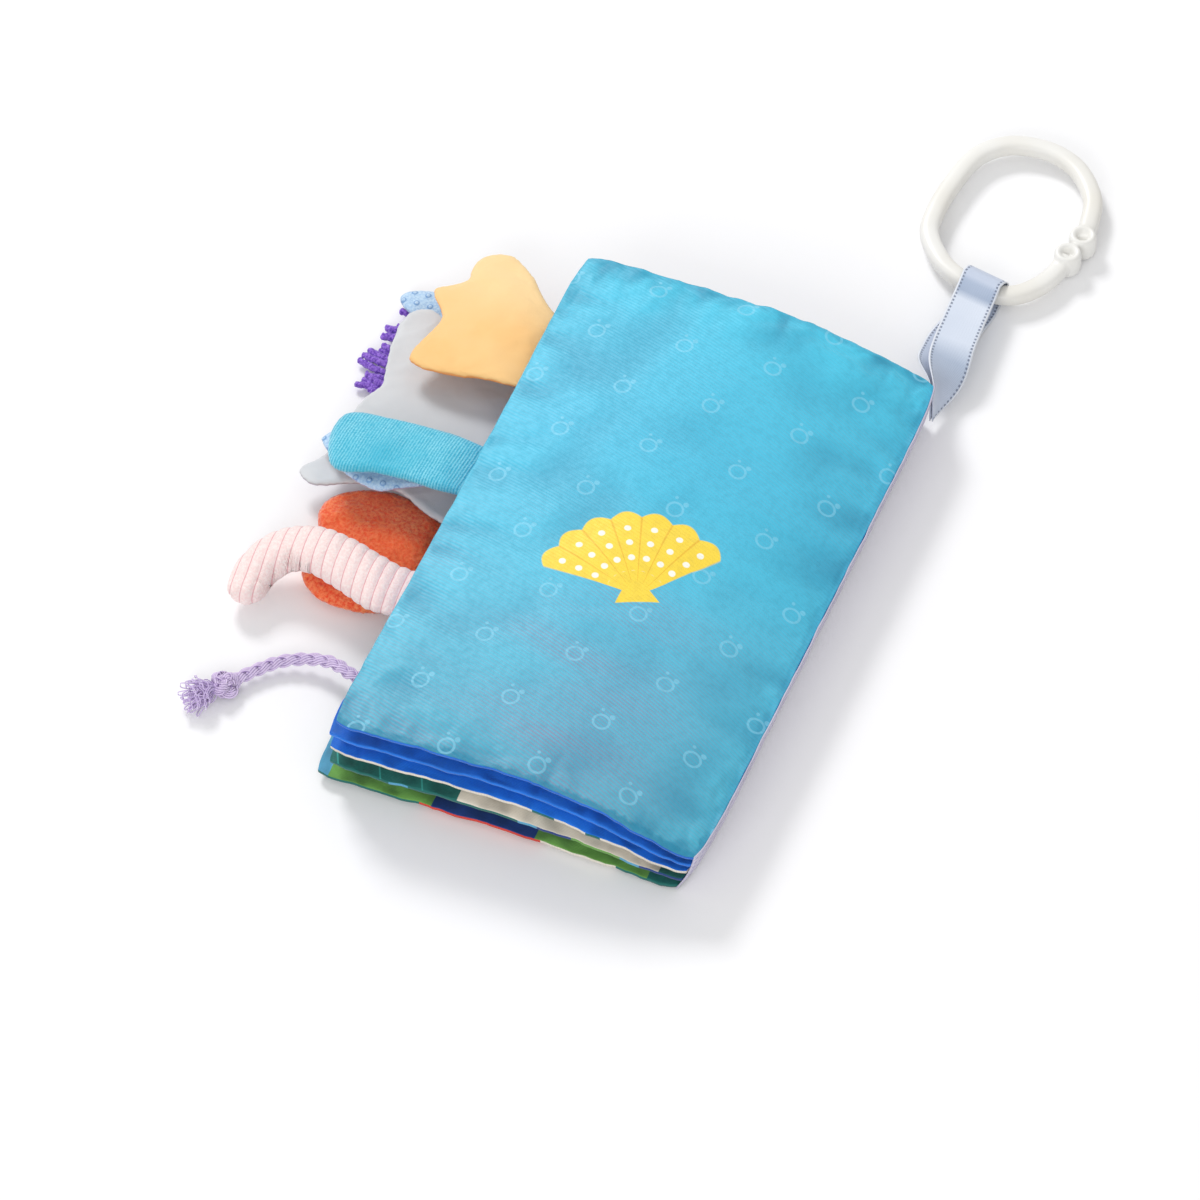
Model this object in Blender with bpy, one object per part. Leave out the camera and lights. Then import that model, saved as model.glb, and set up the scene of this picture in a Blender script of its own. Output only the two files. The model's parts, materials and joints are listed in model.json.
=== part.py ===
"""A padded cloth book for a baby: two covers and three leaves, each a sewn bag of two printed cloths
with wadding and a crinkle film inside, bound at a cloth spine, with fabric tails sewn to the fore edges
and a plastic link ring on a ribbon at the spine's far end.

Metres, +Z up. The origin is the middle of the bottom cover's flat underside. +X points to the spine,
+Y to the book's far edge, where the ribbon is.
"""

import math

import bmesh
import bpy
from mathutils import Matrix, Vector
from mathutils.geometry import delaunay_2d_cdt

# Driving sizes of the book
PAGE_WIDTH = 0.131
PAGE_LENGTH = 0.220
STACK_AT_SPINE = 0.0218
STACK_AT_MIDDLE = 0.0380
STACK_AT_FORE_EDGE = 0.0366
SPINE_LEAN = 0.0060
FORE_EDGE_STAGGER = 0.0075
SIDE_DRAW_IN = 0.0014
CORNER_RADIUS = 0.0070
CLOTH_THICKNESS = 0.0006
FILM_THICKNESS = 0.0002
SPINE_CLOTH_THICKNESS = 0.0008
SPINE_BULGE = 0.0012
GUTTER = 0.0020
SEAT_GAP = 0.0003
PAGE_GAP = 0.0005

# Names from the bottom up, and where each fore edge stands in the stagger
PAGES = ("bottom_cover", "leaf_3", "leaf_2", "leaf_1", "top_cover")
FORE_EDGE_SHARES = (-0.20, 0.43, 0.50, 0.50, 0.87)

# Places of the pillow grid across a page, closer where the seam pinches
ACROSS_SHARES = (0.0, 0.035, 0.12, 0.30, 0.50, 0.70, 0.88, 0.965, 1.0)
ALONG_SHARES = (-1.0, -0.97, -0.88, -0.65, -0.33, 0.0, 0.33, 0.65, 0.88, 0.97, 1.0)

# Tails: outlines run from the near end of the root round the tip to its far end,
# as shares of the length out from the fore edge and of the half width; each place is the
# middle of its width along the fore edge
ORANGE_LENGTH = 0.0430
ORANGE_WIDTH = 0.0574
ORANGE_PLACE = 0.3591 * PAGE_LENGTH
ORANGE_THICKNESS = 0.0042
ORANGE_DROP = 0.0056
ORANGE_SHARES = (
    (0.0, -0.87), (0.30, -0.96), (0.60, -1.0), (0.80, -0.97), (0.92, -0.85), (0.90, -0.60),
    (0.82, -0.22), (0.87, -0.04), (0.98, 0.16), (0.99, 0.28), (0.86, 0.38), (0.77, 0.50),
    (0.79, 0.70), (0.74, 0.90), (0.58, 1.0), (0.44, 0.94), (0.22, 0.68), (0.0, 0.36),
)
TEAL_LENGTH = 0.0510
TEAL_WIDTH = 0.0270
TEAL_PLACE = 0.0555 * PAGE_LENGTH
TEAL_THICKNESS = 0.0064
TEAL_DROP = 0.0046
TEAL_SHARES = (
    (0.0, -0.93), (0.34, -0.78), (0.58, -0.78), (0.80, -0.98), (0.92, -0.72), (0.99, -0.05),
    (1.0, 0.45), (0.94, 0.90), (0.70, 1.0), (0.40, 0.98), (0.0, 0.93),
)
GREY_LENGTH = 0.0588
GREY_WIDTH = 0.0900
GREY_PLACE = 0.1864 * PAGE_LENGTH
GREY_THICKNESS = 0.0030
GREY_DROP = 0.0020
GREY_SHARES = (
    (0.0, -1.0), (0.18, -0.90), (0.40, -0.77), (0.65, -0.81), (0.86, -0.92), (0.98, -0.86),
    (0.99, -0.78), (0.90, -0.62), (0.88, -0.32), (0.86, -0.02), (0.80, 0.16), (0.83, 0.34),
    (0.87, 0.60), (0.87, 0.86), (0.80, 0.98), (0.68, 0.98), (0.50, 0.80), (0.25, 0.58), (0.0, 0.42),
)
FAR_FIN_LENGTH = 0.0572
FAR_FIN_WIDTH = 0.0280
FAR_FIN_PLACE = 0.3766 * PAGE_LENGTH
FAR_FIN_THICKNESS = 0.0036
FAR_FIN_DROP = 0.0020
FAR_FIN_SHARES = (
    (0.0, -0.90), (0.35, -0.65), (0.65, -0.30), (0.86, 0.05), (0.98, 0.36), (1.0, 0.62),
    (0.93, 0.86), (0.76, 1.0), (0.50, 0.90), (0.25, 0.62), (0.0, 0.40),
)
NEAR_FIN_LENGTH = 0.0545
NEAR_FIN_WIDTH = 0.0236
NEAR_FIN_PLACE = 0.0509 * PAGE_LENGTH
NEAR_FIN_THICKNESS = 0.0036
NEAR_FIN_DROP = 0.0038
NEAR_FIN_SHARES = (
    (0.0, -0.70), (0.35, -0.80), (0.55, -0.98), (0.78, -0.62), (0.91, -0.12), (1.0, 0.24),
    (0.99, 0.62), (0.86, 0.96), (0.55, 1.0), (0.25, 0.90), (0.0, 0.80),
)
RED_LENGTH = 0.0420
RED_WIDTH = 0.0520
RED_PLACE = -0.0727 * PAGE_LENGTH
RED_THICKNESS = 0.0072
RED_DROP = -0.0010
RED_SHARES = (
    (0.0, -0.78), (0.18, -0.93), (0.38, -1.0), (0.64, -0.98), (0.84, -0.76), (0.90, -0.48),
    (0.84, -0.20), (0.93, 0.08), (1.0, 0.36), (0.96, 0.62), (0.80, 0.84), (0.50, 1.0),
    (0.22, 0.92), (0.0, 0.76),
)
TAIL_PINCH = 0.0080
TAIL_GRID = 0.0085
TAIL_EDGE_CELL = 0.0042
TAIL_SPAN_STEPS = 3
TAIL_DROP_POWER = 1.2
TAIL_FILLING_GAP = 0.0005

# Corduroy tail: centreline places out from the fore edge and along it, and heights of its middle
PINK_LENGTH = 0.0545
PINK_WIDTH = 0.0190
PINK_HEIGHT = 0.0125
PINK_PLACE = -0.1795 * PAGE_LENGTH
PINK_REACH = 0.0190
PINK_DROP = 0.0103
PINK_PATH_SHARES = (
    (0.0, 0.0, 0.0), (0.20, 0.12, 0.24), (0.46, 0.36, 0.27), (0.68, 0.46, 0.28),
    (0.86, 0.36, 0.50), (0.97, 0.0, 0.74), (1.0, -0.40, 0.94), (0.97, -0.80, 1.0),
)
PINK_WIDTH_SHARES = (1.10, 1.08, 1.0, 0.96, 0.90, 0.82, 0.74, 0.62)
PINK_HEIGHT_SHARES = (0.22, 0.80, 1.0, 1.0, 0.98, 0.92, 0.86, 0.74)
PINK_SQUARE_SHARE = 0.25
PINK_RIBS = 19
PINK_RIB_DEPTH = 0.0006
PINK_SIDES = 10

# Chenille fringe on a tape
FRINGE_STRANDS = 8
FRINGE_PLACE = 0.2909 * PAGE_LENGTH
FRINGE_WIDTH = 0.0420
FRINGE_LENGTH = 0.0520
FRINGE_TAPE_DEPTH = 0.0040
FRINGE_TAPE_HEIGHT = 0.0018
FRINGE_STRAND = 0.0024
FRINGE_WAVE = 0.0011
FRINGE_DROP = 0.0019
FRINGE_LENGTH_SHARES = (0.93, 1.0, 0.95, 1.04, 0.98, 1.05, 0.96, 1.02)
FRINGE_STEPS = 8
FRINGE_TIP_SHARE = 0.55

# Braided cord with its knot and frayed end: the route is chosen by hand
CORD_DIAMETER = 0.0044
CORD_STEP_DIAMETERS = 2
CORD_ROUTE = (
    (-0.0621, -0.0724, 0.0110),
    (-0.0684, -0.0706, 0.0100),
    (-0.0767, -0.0668, 0.0076),
    (-0.0857, -0.0670, 0.0056),
    (-0.0939, -0.0705, 0.0046),
    (-0.0997, -0.0760, 0.0042),
    (-0.1045, -0.0824, 0.0044),
)
KNOT_DIAMETER = 0.0088
KNOT_TURNS = 3
KNOT_LUMP_SHARE = 0.10
TUFT_LENGTH = 0.0105
TUFT_WIDTH = 0.0105
TUFT_HEIGHT = 0.0086
TUFT_TUFTS = 7
TUFT_LUMP_SHARE = 0.16

# Link ring: an open oval bar whose two cups snap side by side
RING_WIDTH = 0.0580
RING_LENGTH = 0.0740
RING_BAR_WIDTH = 0.0064
RING_BAR_HEIGHT = 0.0060
RING_PLACE_X = 0.0628
RING_PLACE_Y = 0.2005
CUP_DIAMETER = 0.0090
CUP_HEIGHT = 0.0090
CUP_DIMPLE_DIAMETER = 0.0042
CUP_DIMPLE_DEPTH = 0.0030
RING_SHARES = (
    (1.03, -0.04), (1.0, 0.20), (0.89, 0.54), (0.54, 0.86), (0.10, 1.0), (-0.38, 0.97),
    (-0.70, 0.81), (-0.88, 0.56), (-0.97, 0.16), (-0.99, -0.20), (-0.91, -0.52), (-0.52, -0.85),
    (0.01, -1.0), (0.48, -0.97), (0.80, -0.70), (0.95, -0.314),
)
RING_SIDES = 10
RING_SPAN_STEPS = 3
CUP_SIDES = 18

# Satin ribbon: sewn on edge into the spine's far end, turning flat where it loops the bar
RIBBON_WIDTH = 0.0150
RIBBON_THICKNESS = 0.0005
RIBBON_LOOP_HEIGHT = 0.0090
RIBBON_LOOP_DEPTH = 0.0104
RIBBON_ROOT_HEIGHT = 0.0110
RIBBON_LOOP_PLACE_SHARE = 0.06
RIBBON_LOOP_SHIFT = 0.0006
RIBBON_ROOT_SPREAD = 0.0009
RIBBON_SPLAY = 0.0050
RIBBON_LOOP_ANGLE = math.radians(-11)
RIBBON_STRAND_STEPS = 16
RIBBON_LOOP_STEPS = 10

TABLE_GAP = 0.0002


def material(name, colour, roughness, metallic=0.0):
    """A plain Principled material."""
    found = bpy.data.materials.get(name)
    if found:
        return found
    made = bpy.data.materials.new(name)
    made.use_nodes = True
    shader = made.node_tree.nodes["Principled BSDF"]
    shader.inputs["Base Color"].default_value = (*colour, 1.0)
    shader.inputs["Roughness"].default_value = roughness
    shader.inputs["Metallic"].default_value = metallic
    made.diffuse_color = (*colour, 1.0)
    return made


TURQUOISE = ("turquoise_satin", (0.070, 0.430, 0.620), 0.55)
BLUE = ("blue_cloth", (0.002, 0.075, 0.400), 0.75)
CREAM = ("cream_cloth", (0.560, 0.500, 0.400), 0.80)
DARK_TEAL = ("dark_teal_cloth", (0.002, 0.100, 0.090), 0.75)
GREEN = ("green_cloth", (0.200, 0.440, 0.080), 0.75)
WADDING = ("white_wadding", (0.850, 0.850, 0.850), 0.95)
FILM = ("clear_film", (0.700, 0.750, 0.800), 0.25)
LILAC_GREY = ("lilac_grey_cloth", (0.560, 0.530, 0.680), 0.75)
ORANGE = ("orange_satin", (1.000, 0.520, 0.190), 0.45)
TEAL = ("teal_velour", (0.045, 0.430, 0.600), 0.85)
GREY = ("grey_satin", (0.500, 0.490, 0.490), 0.50)
DOTTED = ("pale_blue_minky", (0.480, 0.630, 0.840), 0.85)
WHITE_CLOTH = ("white_lilac_cloth", (0.780, 0.760, 0.840), 0.80)
RED = ("red_plush", (0.800, 0.070, 0.015), 0.90)
PINK = ("pink_corduroy", (0.950, 0.640, 0.620), 0.90)
PURPLE = ("purple_chenille", (0.150, 0.060, 0.450), 0.95)
LILAC = ("lilac_cord", (0.430, 0.300, 0.600), 0.85)
SATIN = ("grey_blue_ribbon", (0.500, 0.580, 0.720), 0.35)
PLASTIC = ("white_plastic", (0.900, 0.890, 0.850), 0.35)

PAGE_CLOTHS = {
    "bottom_cover": (CREAM, GREEN),
    "leaf_3": (GREEN, DARK_TEAL),
    "leaf_2": (CREAM, BLUE),
    "leaf_1": (BLUE, BLUE),
    "top_cover": (BLUE, TURQUOISE),
}


def clear_scene():
    """Empty the file of its objects."""
    for thing in list(bpy.data.objects):
        bpy.data.objects.remove(thing, do_unlink=True)


def pivot(name, place, parent=None):
    """An empty on a joint's axis, which the pieces that turn about it hang from."""
    empty = bpy.data.objects.new(name, None)
    bpy.context.collection.objects.link(empty)
    carried = parent["place"] if parent else (0.0, 0.0, 0.0)
    empty["place"] = tuple(place)
    empty.location = Vector(place) - Vector(carried)
    empty.parent = parent
    return empty


def add_piece(name, bm, finish, carrier=None):
    """Make one object from a bmesh in world places, hung from its carrier's pivot."""
    bm.normal_update()
    bmesh.ops.recalc_face_normals(bm, faces=bm.faces[:])
    mesh = bpy.data.meshes.new(name)
    bm.to_mesh(mesh)
    bm.free()
    mesh.materials.append(material(*finish))
    mesh.shade_smooth()
    mesh.set_sharp_from_angle(angle=math.radians(40))
    piece = bpy.data.objects.new(name, mesh)
    bpy.context.collection.objects.link(piece)
    if carrier:
        mesh.transform(Matrix.Translation(-Vector(carrier["place"])))
        piece.parent = carrier
    return piece


def solid_between(bm, place, low, high):
    """Turn a flat sheet into a closed solid: each point goes to its place, at two heights."""
    flat = {vertex: vertex.co.xy.copy() for vertex in bm.verts}
    raised = bmesh.ops.extrude_face_region(bm, geom=bm.faces[:], use_keep_orig=True)
    for vertex in raised["geom"]:
        if isinstance(vertex, bmesh.types.BMVert):
            spot = vertex.co.xy.copy()
            vertex.co = (*place(*spot), high(*spot))
    for vertex, spot in flat.items():
        vertex.co = (*place(*spot), low(*spot))


def smooth_line(points, steps, closed=False):
    """A smooth curve through points, with a number of steps in each span."""
    points = [Vector(point) for point in points]
    count = len(points)
    found = []
    for index in range(count if closed else count - 1):
        around = []
        for offset in (-1, 0, 1, 2):
            spot = index + offset
            if closed:
                around.append(points[spot % count])
            elif spot < 0:
                around.append(2 * points[0] - points[1])
            elif spot >= count:
                around.append(2 * points[-1] - points[-2])
            else:
                around.append(points[spot])
        before, start, end, after = around
        for step in range(steps):
            t = step / steps
            found.append(
                0.5 * (2 * start + (end - before) * t
                       + (2 * before - 5 * start + 4 * end - after) * t ** 2
                       + (3 * start - before - 3 * end + after) * t ** 3)
            )
    if not closed:
        found.append(points[-1].copy())
    return found


def even_steps(line, step):
    """Points at equal steps along a fine line, with both of its ends."""
    lengths = [0.0]
    for start, end in zip(line, line[1:]):
        lengths.append(lengths[-1] + (end - start).length)
    count = max(1, round(lengths[-1] / step))
    found = []
    index = 0
    for number in range(count + 1):
        wanted = lengths[-1] * number / count
        while index < len(line) - 2 and lengths[index + 1] < wanted:
            index += 1
        span = lengths[index + 1] - lengths[index]
        found.append(line[index].lerp(line[index + 1], (wanted - lengths[index]) / span))
    return found


def loft(bm, rings):
    """Skin a row of rings of points, closed round each ring and capped at both ends."""
    rows = [[bm.verts.new(point) for point in ring] for ring in rings]
    for row, following in zip(rows, rows[1:]):
        count = len(row)
        for index in range(count):
            after = (index + 1) % count
            bm.faces.new((row[index], row[after], following[after], following[index]))
    bm.faces.new(rows[0])
    bm.faces.new(rows[-1])


def stack_height(share):
    """Height of the whole stack, from the spine at 0 to the fore edge at 1."""
    half = 0.5
    if share < half:
        rise = math.sin(math.pi / 2 * share / half) ** 1.3
        return STACK_AT_SPINE + (STACK_AT_MIDDLE - STACK_AT_SPINE) * rise
    fall = ((share - half) / half) ** 2
    return STACK_AT_MIDDLE - (STACK_AT_MIDDLE - STACK_AT_FORE_EDGE) * fall


def spine_edge(number):
    """Where a page's spine edge stands, the pages leaning as they pile up."""
    return PAGE_WIDTH / 2 + SPINE_LEAN * number / (len(PAGES) - 1)


def fore_edge(number):
    """Where a page's fore edge stands."""
    return -PAGE_WIDTH / 2 + FORE_EDGE_STAGGER * FORE_EDGE_SHARES[number]


def root_edge(number, along):
    """Where a tail's root stands: just outside its page's drawn-in fore edge."""
    draw_in = SIDE_DRAW_IN * (1 - (2 * along / PAGE_LENGTH) ** 2)
    return fore_edge(number) + draw_in - SEAT_GAP


def seam_height(number, share):
    """Height of a page's seam, halfway up its own layer of the stack."""
    return stack_height(share) * (number + 0.5) / len(PAGES)


def bulge(share):
    """How full a pillow is, from 0 at its seams to 1 in the middle."""
    return max(0.0, 1 - abs(share) ** 4) ** 0.6


def page_spot(number, across, along):
    """Plan place of a grid point: drawn-in sides and rounded corners."""
    middle = (spine_edge(number) + fore_edge(number)) / 2
    half = (spine_edge(number) - fore_edge(number)) / 2
    swing = 1 - 2 * across
    corner = 0.29 * CORNER_RADIUS * abs(swing * along) ** 12
    x = middle + swing * (half - corner)
    if swing < 0:
        x += SIDE_DRAW_IN * (1 - along ** 2) * swing ** 2
    y = along * (PAGE_LENGTH / 2 - corner - SIDE_DRAW_IN * (1 - swing ** 2))
    return x, y


def page_swell(number, across, along):
    """Height of the cloth's inner face above or below the seam."""
    layer = stack_height(across) / len(PAGES)
    full = layer / 2 - PAGE_GAP / 2 - CLOTH_THICKNESS - SEAT_GAP / 2
    return full * bulge(1 - 2 * across) * bulge(along)


def page_sheet(across_shares, along_shares):
    """A flat grid whose points stand at the given shares."""
    bm = bmesh.new()
    columns, rows = len(across_shares) - 1, len(along_shares) - 1
    bmesh.ops.create_grid(bm, x_segments=columns, y_segments=rows, size=1)
    for vertex in bm.verts:
        column = round((vertex.co.x + 1) / 2 * columns)
        row = round((vertex.co.y + 1) / 2 * rows)
        vertex.co.x, vertex.co.y = across_shares[column], along_shares[row]
    return bm


def page_solid(name, number, trim, low, high, finish, carrier):
    """One layer of a page between two heights, its grid trimmed by some rows at each edge."""
    end = -trim or None
    bm = page_sheet(ACROSS_SHARES[trim:end], ALONG_SHARES[trim:end])
    solid_between(bm, lambda u, v: page_spot(number, u, v), low, high)
    add_piece(name, bm, finish, carrier)


def page(number, carrier):
    """Two cloths that meet at the seam, with the crinkle film over the wadding between them."""
    name = PAGES[number]
    lower_finish, upper_finish = PAGE_CLOTHS[name]

    def upper_inner(u, v):
        return seam_height(number, u) + SEAT_GAP / 2 + page_swell(number, u, v)

    def lower_inner(u, v):
        if number:
            return seam_height(number, u) - SEAT_GAP / 2 - page_swell(number, u, v)
        deepest = seam_height(number, u) - SEAT_GAP / 2 - CLOTH_THICKNESS
        full = min(1.0, bulge(1 - 2 * u) * bulge(v) / 0.75)
        return seam_height(number, u) - SEAT_GAP / 2 - deepest * full

    def film_low(u, v):
        return upper_inner(u, v) - SEAT_GAP - FILM_THICKNESS

    page_solid(f"{name}_upper_cloth", number, 0, upper_inner,
               lambda u, v: upper_inner(u, v) + CLOTH_THICKNESS, upper_finish, carrier)
    page_solid(f"{name}_lower_cloth", number, 0, lambda u, v: lower_inner(u, v) - CLOTH_THICKNESS,
               lower_inner, lower_finish, carrier)
    page_solid(f"{name}_crinkle_film", number, 1, film_low,
               lambda u, v: upper_inner(u, v) - SEAT_GAP, FILM, carrier)
    page_solid(f"{name}_wadding", number, 2, lambda u, v: lower_inner(u, v) + SEAT_GAP,
               lambda u, v: film_low(u, v) - SEAT_GAP, WADDING, carrier)


def spine_line(height):
    """Where the spine edges of the pages stand at a height."""
    number = height / STACK_AT_SPINE * len(PAGES) - 0.5
    return spine_edge(number)


def spine_cloth():
    """The strip of cloth that the pages' spine edges are sewn to, bowed out between the covers."""
    bm = bmesh.new()
    steps = 6
    inner, outer = [], []
    for step in range(steps + 1):
        share = step / steps
        height = TABLE_GAP + (STACK_AT_SPINE - 2 * TABLE_GAP) * share
        bow = SPINE_BULGE * math.sin(math.pi * share)
        x = spine_line(height) + SEAT_GAP + bow
        inner.append((x, height))
        outer.append((x + SPINE_CLOTH_THICKNESS, height))
    outline = inner + outer[::-1]
    end = PAGE_LENGTH / 2
    loft(bm, [[(x, y, z) for x, z in outline] for y in (-end, end)])
    add_piece("spine_cloth", bm, LILAC_GREY)


def outline_points(number, shares, length, width, place):
    """A tail's outline in plan: the root lies along its page's fore edge."""
    spots = []
    for along, across in shares:
        y = place + across * width / 2
        spots.append((root_edge(number, y) - along * length, y, 0.0))
    return smooth_line(spots, TAIL_SPAN_STEPS)


def distance_inside(spot, outline):
    """Distance from a point to the nearest stretch of a closed outline."""
    nearest = math.inf
    for start, end in zip(outline, outline[1:] + outline[:1]):
        run = end - start
        share = max(0.0, min(1.0, (spot - start).dot(run) / run.length_squared))
        nearest = min(nearest, (spot - start - run * share).length)
    return nearest


def is_inside(spot, outline):
    """Whether a point lies inside a closed outline."""
    inside = False
    for start, end in zip(outline, outline[1:] + outline[:1]):
        if (start.y > spot.y) != (end.y > spot.y):
            crossing = start.x + (spot.y - start.y) / (end.y - start.y) * (end.x - start.x)
            if spot.x < crossing:
                inside = not inside
    return inside


def filled_outline(outline, inset):
    """A flat triangle sheet over an outline, with points inside it to be puffed up."""
    corners = [point.xy for point in outline]
    inner = []
    low = Vector((min(p.x for p in corners), min(p.y for p in corners)))
    high = Vector((max(p.x for p in corners), max(p.y for p in corners)))
    for index, point in enumerate(corners):
        run = corners[(index + 1) % len(corners)] - corners[index - 1]
        side = Vector((run.y, -run.x)).normalized() * inset
        for spot in (point + side, point - side):
            clear = all((spot - other).length > inset for other in inner)
            if clear and is_inside(spot, corners) and distance_inside(spot, corners) > inset * 0.9:
                inner.append(spot)
    row = 0
    y = low.y
    while y < high.y:
        x = low.x + (row % 2) * TAIL_GRID / 2
        while x < high.x:
            spot = Vector((x, y))
            clear = all((spot - other).length > TAIL_GRID * 0.6 for other in inner)
            if clear and is_inside(spot, corners) and distance_inside(spot, corners) > inset * 1.5:
                inner.append(spot)
            x += TAIL_GRID
        y += TAIL_GRID * 0.866
        row += 1
    count = len(corners)
    edges = [(index, (index + 1) % count) for index in range(count)]
    spots, _, faces, _, _, _ = delaunay_2d_cdt(corners + inner, edges, [], 1, TABLE_GAP / 10)
    bm = bmesh.new()
    made = [bm.verts.new((*spot, 0.0)) for spot in spots]
    for face in faces:
        bm.faces.new([made[index] for index in face])
    return bm


def tail(name, number, shares, length, width, place, thickness, drop, finishes, carrier, filled,
         under=0.0):
    """A flat tail, or one that lies under another in its seam: two cloths, some with stuffing between."""
    root = seam_height(number, 1) - under
    outline = outline_points(number, shares, length, width, place)
    corners = [point.xy for point in outline]
    full = thickness / 2 - CLOTH_THICKNESS - SEAT_GAP / 2

    def middle(x, y):
        out = max(0.0, min(1.0, (root_edge(number, y) - x) / length))
        return root - drop * out ** TAIL_DROP_POWER

    def swell(x, y):
        depth = min(1.0, distance_inside(Vector((x, y)), corners) / TAIL_PINCH)
        return full * math.sqrt(1 - (1 - depth) ** 2)

    def stay(x, y):
        return x, y

    def upper_inner(x, y):
        return middle(x, y) + SEAT_GAP / 2 + swell(x, y)

    def lower_inner(x, y):
        return middle(x, y) - SEAT_GAP / 2 - swell(x, y)

    bm = filled_outline(outline, TAIL_EDGE_CELL / 2)
    solid_between(bm, stay, upper_inner, lambda x, y: upper_inner(x, y) + CLOTH_THICKNESS)
    add_piece(f"{name}_upper_cloth", bm, finishes[0], carrier)
    bm = filled_outline(outline, TAIL_EDGE_CELL / 2)
    solid_between(bm, stay, lambda x, y: lower_inner(x, y) - CLOTH_THICKNESS, lower_inner)
    add_piece(f"{name}_lower_cloth", bm, finishes[1], carrier)
    if filled:
        bm = filled_outline(outline, TAIL_EDGE_CELL / 2)
        rim = [vertex for vertex in bm.verts if vertex.is_boundary]
        bmesh.ops.delete(bm, geom=rim, context="VERTS")
        solid_between(bm, stay, lambda x, y: lower_inner(x, y) + TAIL_FILLING_GAP,
                      lambda x, y: upper_inner(x, y) - TAIL_FILLING_GAP)
        add_piece(f"{name}_stuffing", bm, WADDING, carrier)


def pink_rings(height_cut, ribbed, count, start_share, end_share):
    """Rings along the corduroy tail, each an oval square to the centreline."""
    number = PAGES.index("leaf_2")
    edge = root_edge(number, PINK_PLACE)
    root = seam_height(number, 1)
    path = []
    for along, across, fall in PINK_PATH_SHARES:
        path.append((edge - along * PINK_LENGTH, PINK_PLACE + across * PINK_REACH,
                     root - fall * PINK_DROP))
    fine = 12
    line = smooth_line(path, fine)
    wide = smooth_line([(value, 0.0, 0.0) for value in PINK_WIDTH_SHARES], fine)
    tall = smooth_line([(value, 0.0, 0.0) for value in PINK_HEIGHT_SHARES], fine)
    rings = []
    for number in range(count):
        share = start_share + (end_share - start_share) * number / (count - 1)
        spot = share * (len(line) - 1)
        index = min(int(spot), len(line) - 2)
        part = spot - index
        centre = line[index].lerp(line[index + 1], part)
        ahead = line[index + 1] - line[index]
        side = Vector((-ahead.y, ahead.x, 0.0)).normalized()
        side = Vector((0.0, -1.0, 0.0)).lerp(side, min(1.0, share / PINK_SQUARE_SHARE)).normalized()
        lift = Vector((0.0, 0.0, 1.0))
        half_wide = wide[index].lerp(wide[index + 1], part).x * PINK_WIDTH / 2 - height_cut
        half_tall = tall[index].lerp(tall[index + 1], part).x * PINK_HEIGHT / 2 - height_cut
        if share > 1 - 0.10:
            round_off = math.sqrt(max(0.0, 1 - ((share - 0.90) / 0.115) ** 2))
            half_wide *= round_off
            half_tall *= round_off
        groove = PINK_RIB_DEPTH if ribbed and number % 2 else 0.0
        ring = []
        for side_number in range(PINK_SIDES):
            turn = 2 * math.pi * side_number / PINK_SIDES
            ring.append(centre + side * (half_wide - groove) * math.cos(turn)
                        + lift * max(half_tall - groove, FILM_THICKNESS) * math.sin(turn))
        rings.append(ring)
    return rings


def pink_tail(carrier):
    """The ribbed corduroy tube, open at its sewn root, and the stuffing inside it."""
    outer = pink_rings(0.0, True, 2 * PINK_RIBS + 1, 0.0, 1.0)
    wall = CLOTH_THICKNESS + PINK_RIB_DEPTH
    inner = pink_rings(wall, False, PINK_RIBS, 0.05, 0.93)
    bm = bmesh.new()
    rows = [[bm.verts.new(point) for point in ring] for ring in outer]
    hollow = [[bm.verts.new(point) for point in ring] for ring in inner[::-1]]
    mouth = pink_rings(CLOTH_THICKNESS / 2, False, 2, 0.0, 0.05)[0]
    hollow.append([bm.verts.new(point) for point in mouth])
    chain = hollow + rows
    for row, following in zip(chain, chain[1:]):
        for index in range(PINK_SIDES):
            after = (index + 1) % PINK_SIDES
            bm.faces.new((row[index], row[after], following[after], following[index]))
    bm.faces.new(chain[0])
    bm.faces.new(chain[-1])
    add_piece("pink_tail_cloth", bm, PINK, carrier)
    bm = bmesh.new()
    loft(bm, pink_rings(wall + TAIL_FILLING_GAP, False, PINK_RIBS, 0.12, 0.91))
    add_piece("pink_tail_stuffing", bm, WADDING, carrier)


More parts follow.
